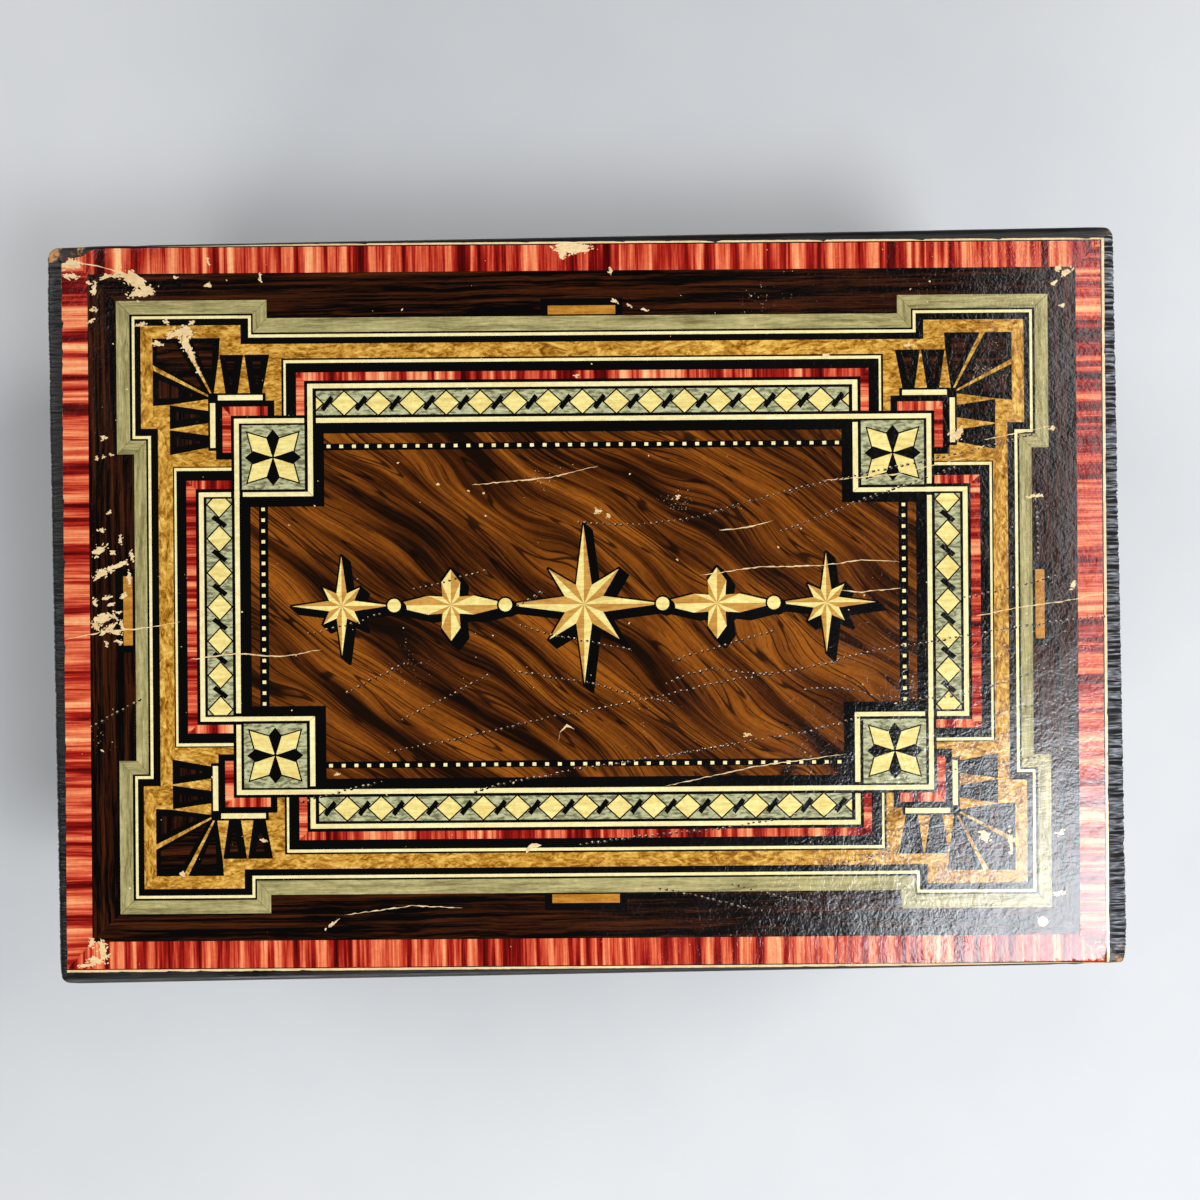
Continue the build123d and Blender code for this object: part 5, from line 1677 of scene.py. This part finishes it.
# %% Stuffing it and fitting it to its cell
bag = slack_bag("velvet_pincushion")
cushion_mesh = stuffed(bag)
soften = bring_in("soften", cushion_mesh)
smooth = soften.modifiers.new("finer", "SUBSURF")
smooth.levels = smooth.render_levels = 1
cushion_mesh = worked_out(soften, every_layer=False)
wall, roof = (CUSHION_HALF - 0.1) * MM, (CUSHION_TOP - 0.15) * MM
for vertex in cushion_mesh.vertices:
    x, y, z = vertex.co
    crease = lumps(x * 90, y * 90, z * 90) * 0.00012
    vertex.co = (max(-wall, min(wall, x + crease)), max(-wall, min(wall, y + crease)),
                 max((CUSHION_LOW + 0.1) * MM, min(roof, z + crease)))
cushion_mesh.shade_smooth()
cushion_mesh.name = "velvet_pincushion"
print("pincushion between", *extent(cushion_mesh), "with", len(cushion_mesh.polygons), "faces")


# %% Crimson velvet
def velvet_steps(r, place):
    """Pile that leans one way here and another there, so that it shows lighter and darker."""
    lean = r.noise(place, 75, 4, 0.6, 0.6)
    pile = r.noise(place, 3800, 2, 0.5)
    worn = r.noise(place, 40, 5, 0.7)
    colour = r.blend(r.between(lean, 0.35, 0.66), paint(104, 10, 22), paint(142, 18, 32))
    colour = r.tint(colour, pile, 0.35, 0.7, 0.5, paint(48, 2, 8))
    colour = r.tint(colour, worn, 0.6, 0.74, 0.3, paint(164, 92, 70))
    height = r.plus(pile, r.times(lean, 0.8))
    return r.skin(colour, r.between(pile, 0.3, 0.7, 0.8, 0.95), 0.6, 0.0002, height)


velvet = finish_of("crimson_velvet", velvet_steps, **{"Sheen Weight": 0.8, "Sheen Roughness": 0.35,
                                                      "Sheen Tint": paint(255, 150, 150)})
pincushion = piece_from("velvet_pincushion", cushion_mesh, "tray", "cushion_cloth", "pincushion",
                        finish=velvet)

# %% [markdown]
# ## The braid over the seam
#
# A twisted silk braid hides the seam. It is one strand of short slanted stitches that
# follows the seam all round, so the same kind of tree that set the pricks sets the stitches.


# %% Stitches along the seam
seam = [(x, y, SEAM_HEIGHT + 0.7) for x, y in rounded_square(28.75, 9.0, 96)]


def silk_steps(r, place):
    threads = r.noise(place, 2600, 2, 0.5)
    fade = r.noise(place, 60, 3, 0.6)
    colour = r.blend(r.between(threads, 0.35, 0.65), paint(150, 104, 40), paint(222, 180, 98))
    colour = r.tint(colour, fade, 0.45, 0.7, 0.5, paint(120, 78, 36))
    return r.skin(colour, r.between(threads, 0.3, 0.7, 0.4, 0.55), 0.5, 0.00008, threads)


silk = finish_of("silk_braid", silk_steps, **{"Sheen Weight": 0.3})
stitcher = Setter("braid_stitches", Pitch=FLOAT, Length=FLOAT, Thickness=FLOAT, Slant=FLOAT,
                  Thread=MATERIAL)
g = stitcher.given
stops = stitcher.add("GeometryNodeCurveToPoints", Curve=g["Geometry"], Length=g["Pitch"], mode="LENGTH")
slant = stitcher.add("ShaderNodeCombineXYZ", [g["Slant"], 0.0, 0.0])
along_path = stops.node.outputs["Rotation"]
slanted = stitcher.add("FunctionNodeRotateRotation", {"Rotation": along_path, "Rotate By": slant},
                       rotation_space="LOCAL")
stitch = stitcher.add("GeometryNodeMeshUVSphere", Segments=8, Rings=5, Radius=0.5)
sizes = stitcher.add("ShaderNodeCombineXYZ", [g["Thickness"], g["Thickness"], g["Length"]])
row = stitcher.add("GeometryNodeInstanceOnPoints", Points=stops, Instance=stitch, Rotation=slanted,
                   Scale=sizes)
row = stitcher.add("GeometryNodeRealizeInstances", Geometry=row)
stitcher.close(stitcher.add("GeometryNodeSetMaterial", Geometry=row, Material=g["Thread"]))
seam_path = drawn_curve("seam", [seam], "POLY", closed=True)
braid_mesh = stitcher.apply(seam_path, "silk_braid", Pitch=0.78 * MM, Length=2.1 * MM,
                            Thickness=1.15 * MM, Slant=0.62, Thread=silk)
braid_mesh.shade_smooth()
piece_from("silk_braid", braid_mesh, "tray", "cushion_cloth", "pincushion")
print("braid of", len(braid_mesh.polygons) // 40, "stitches between", *extent(braid_mesh))

# %% The end of the lesson
low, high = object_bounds()
print("dressed box from", [round(v / MM, 2) for v in low], "to", [round(v / MM, 2) for v in high])
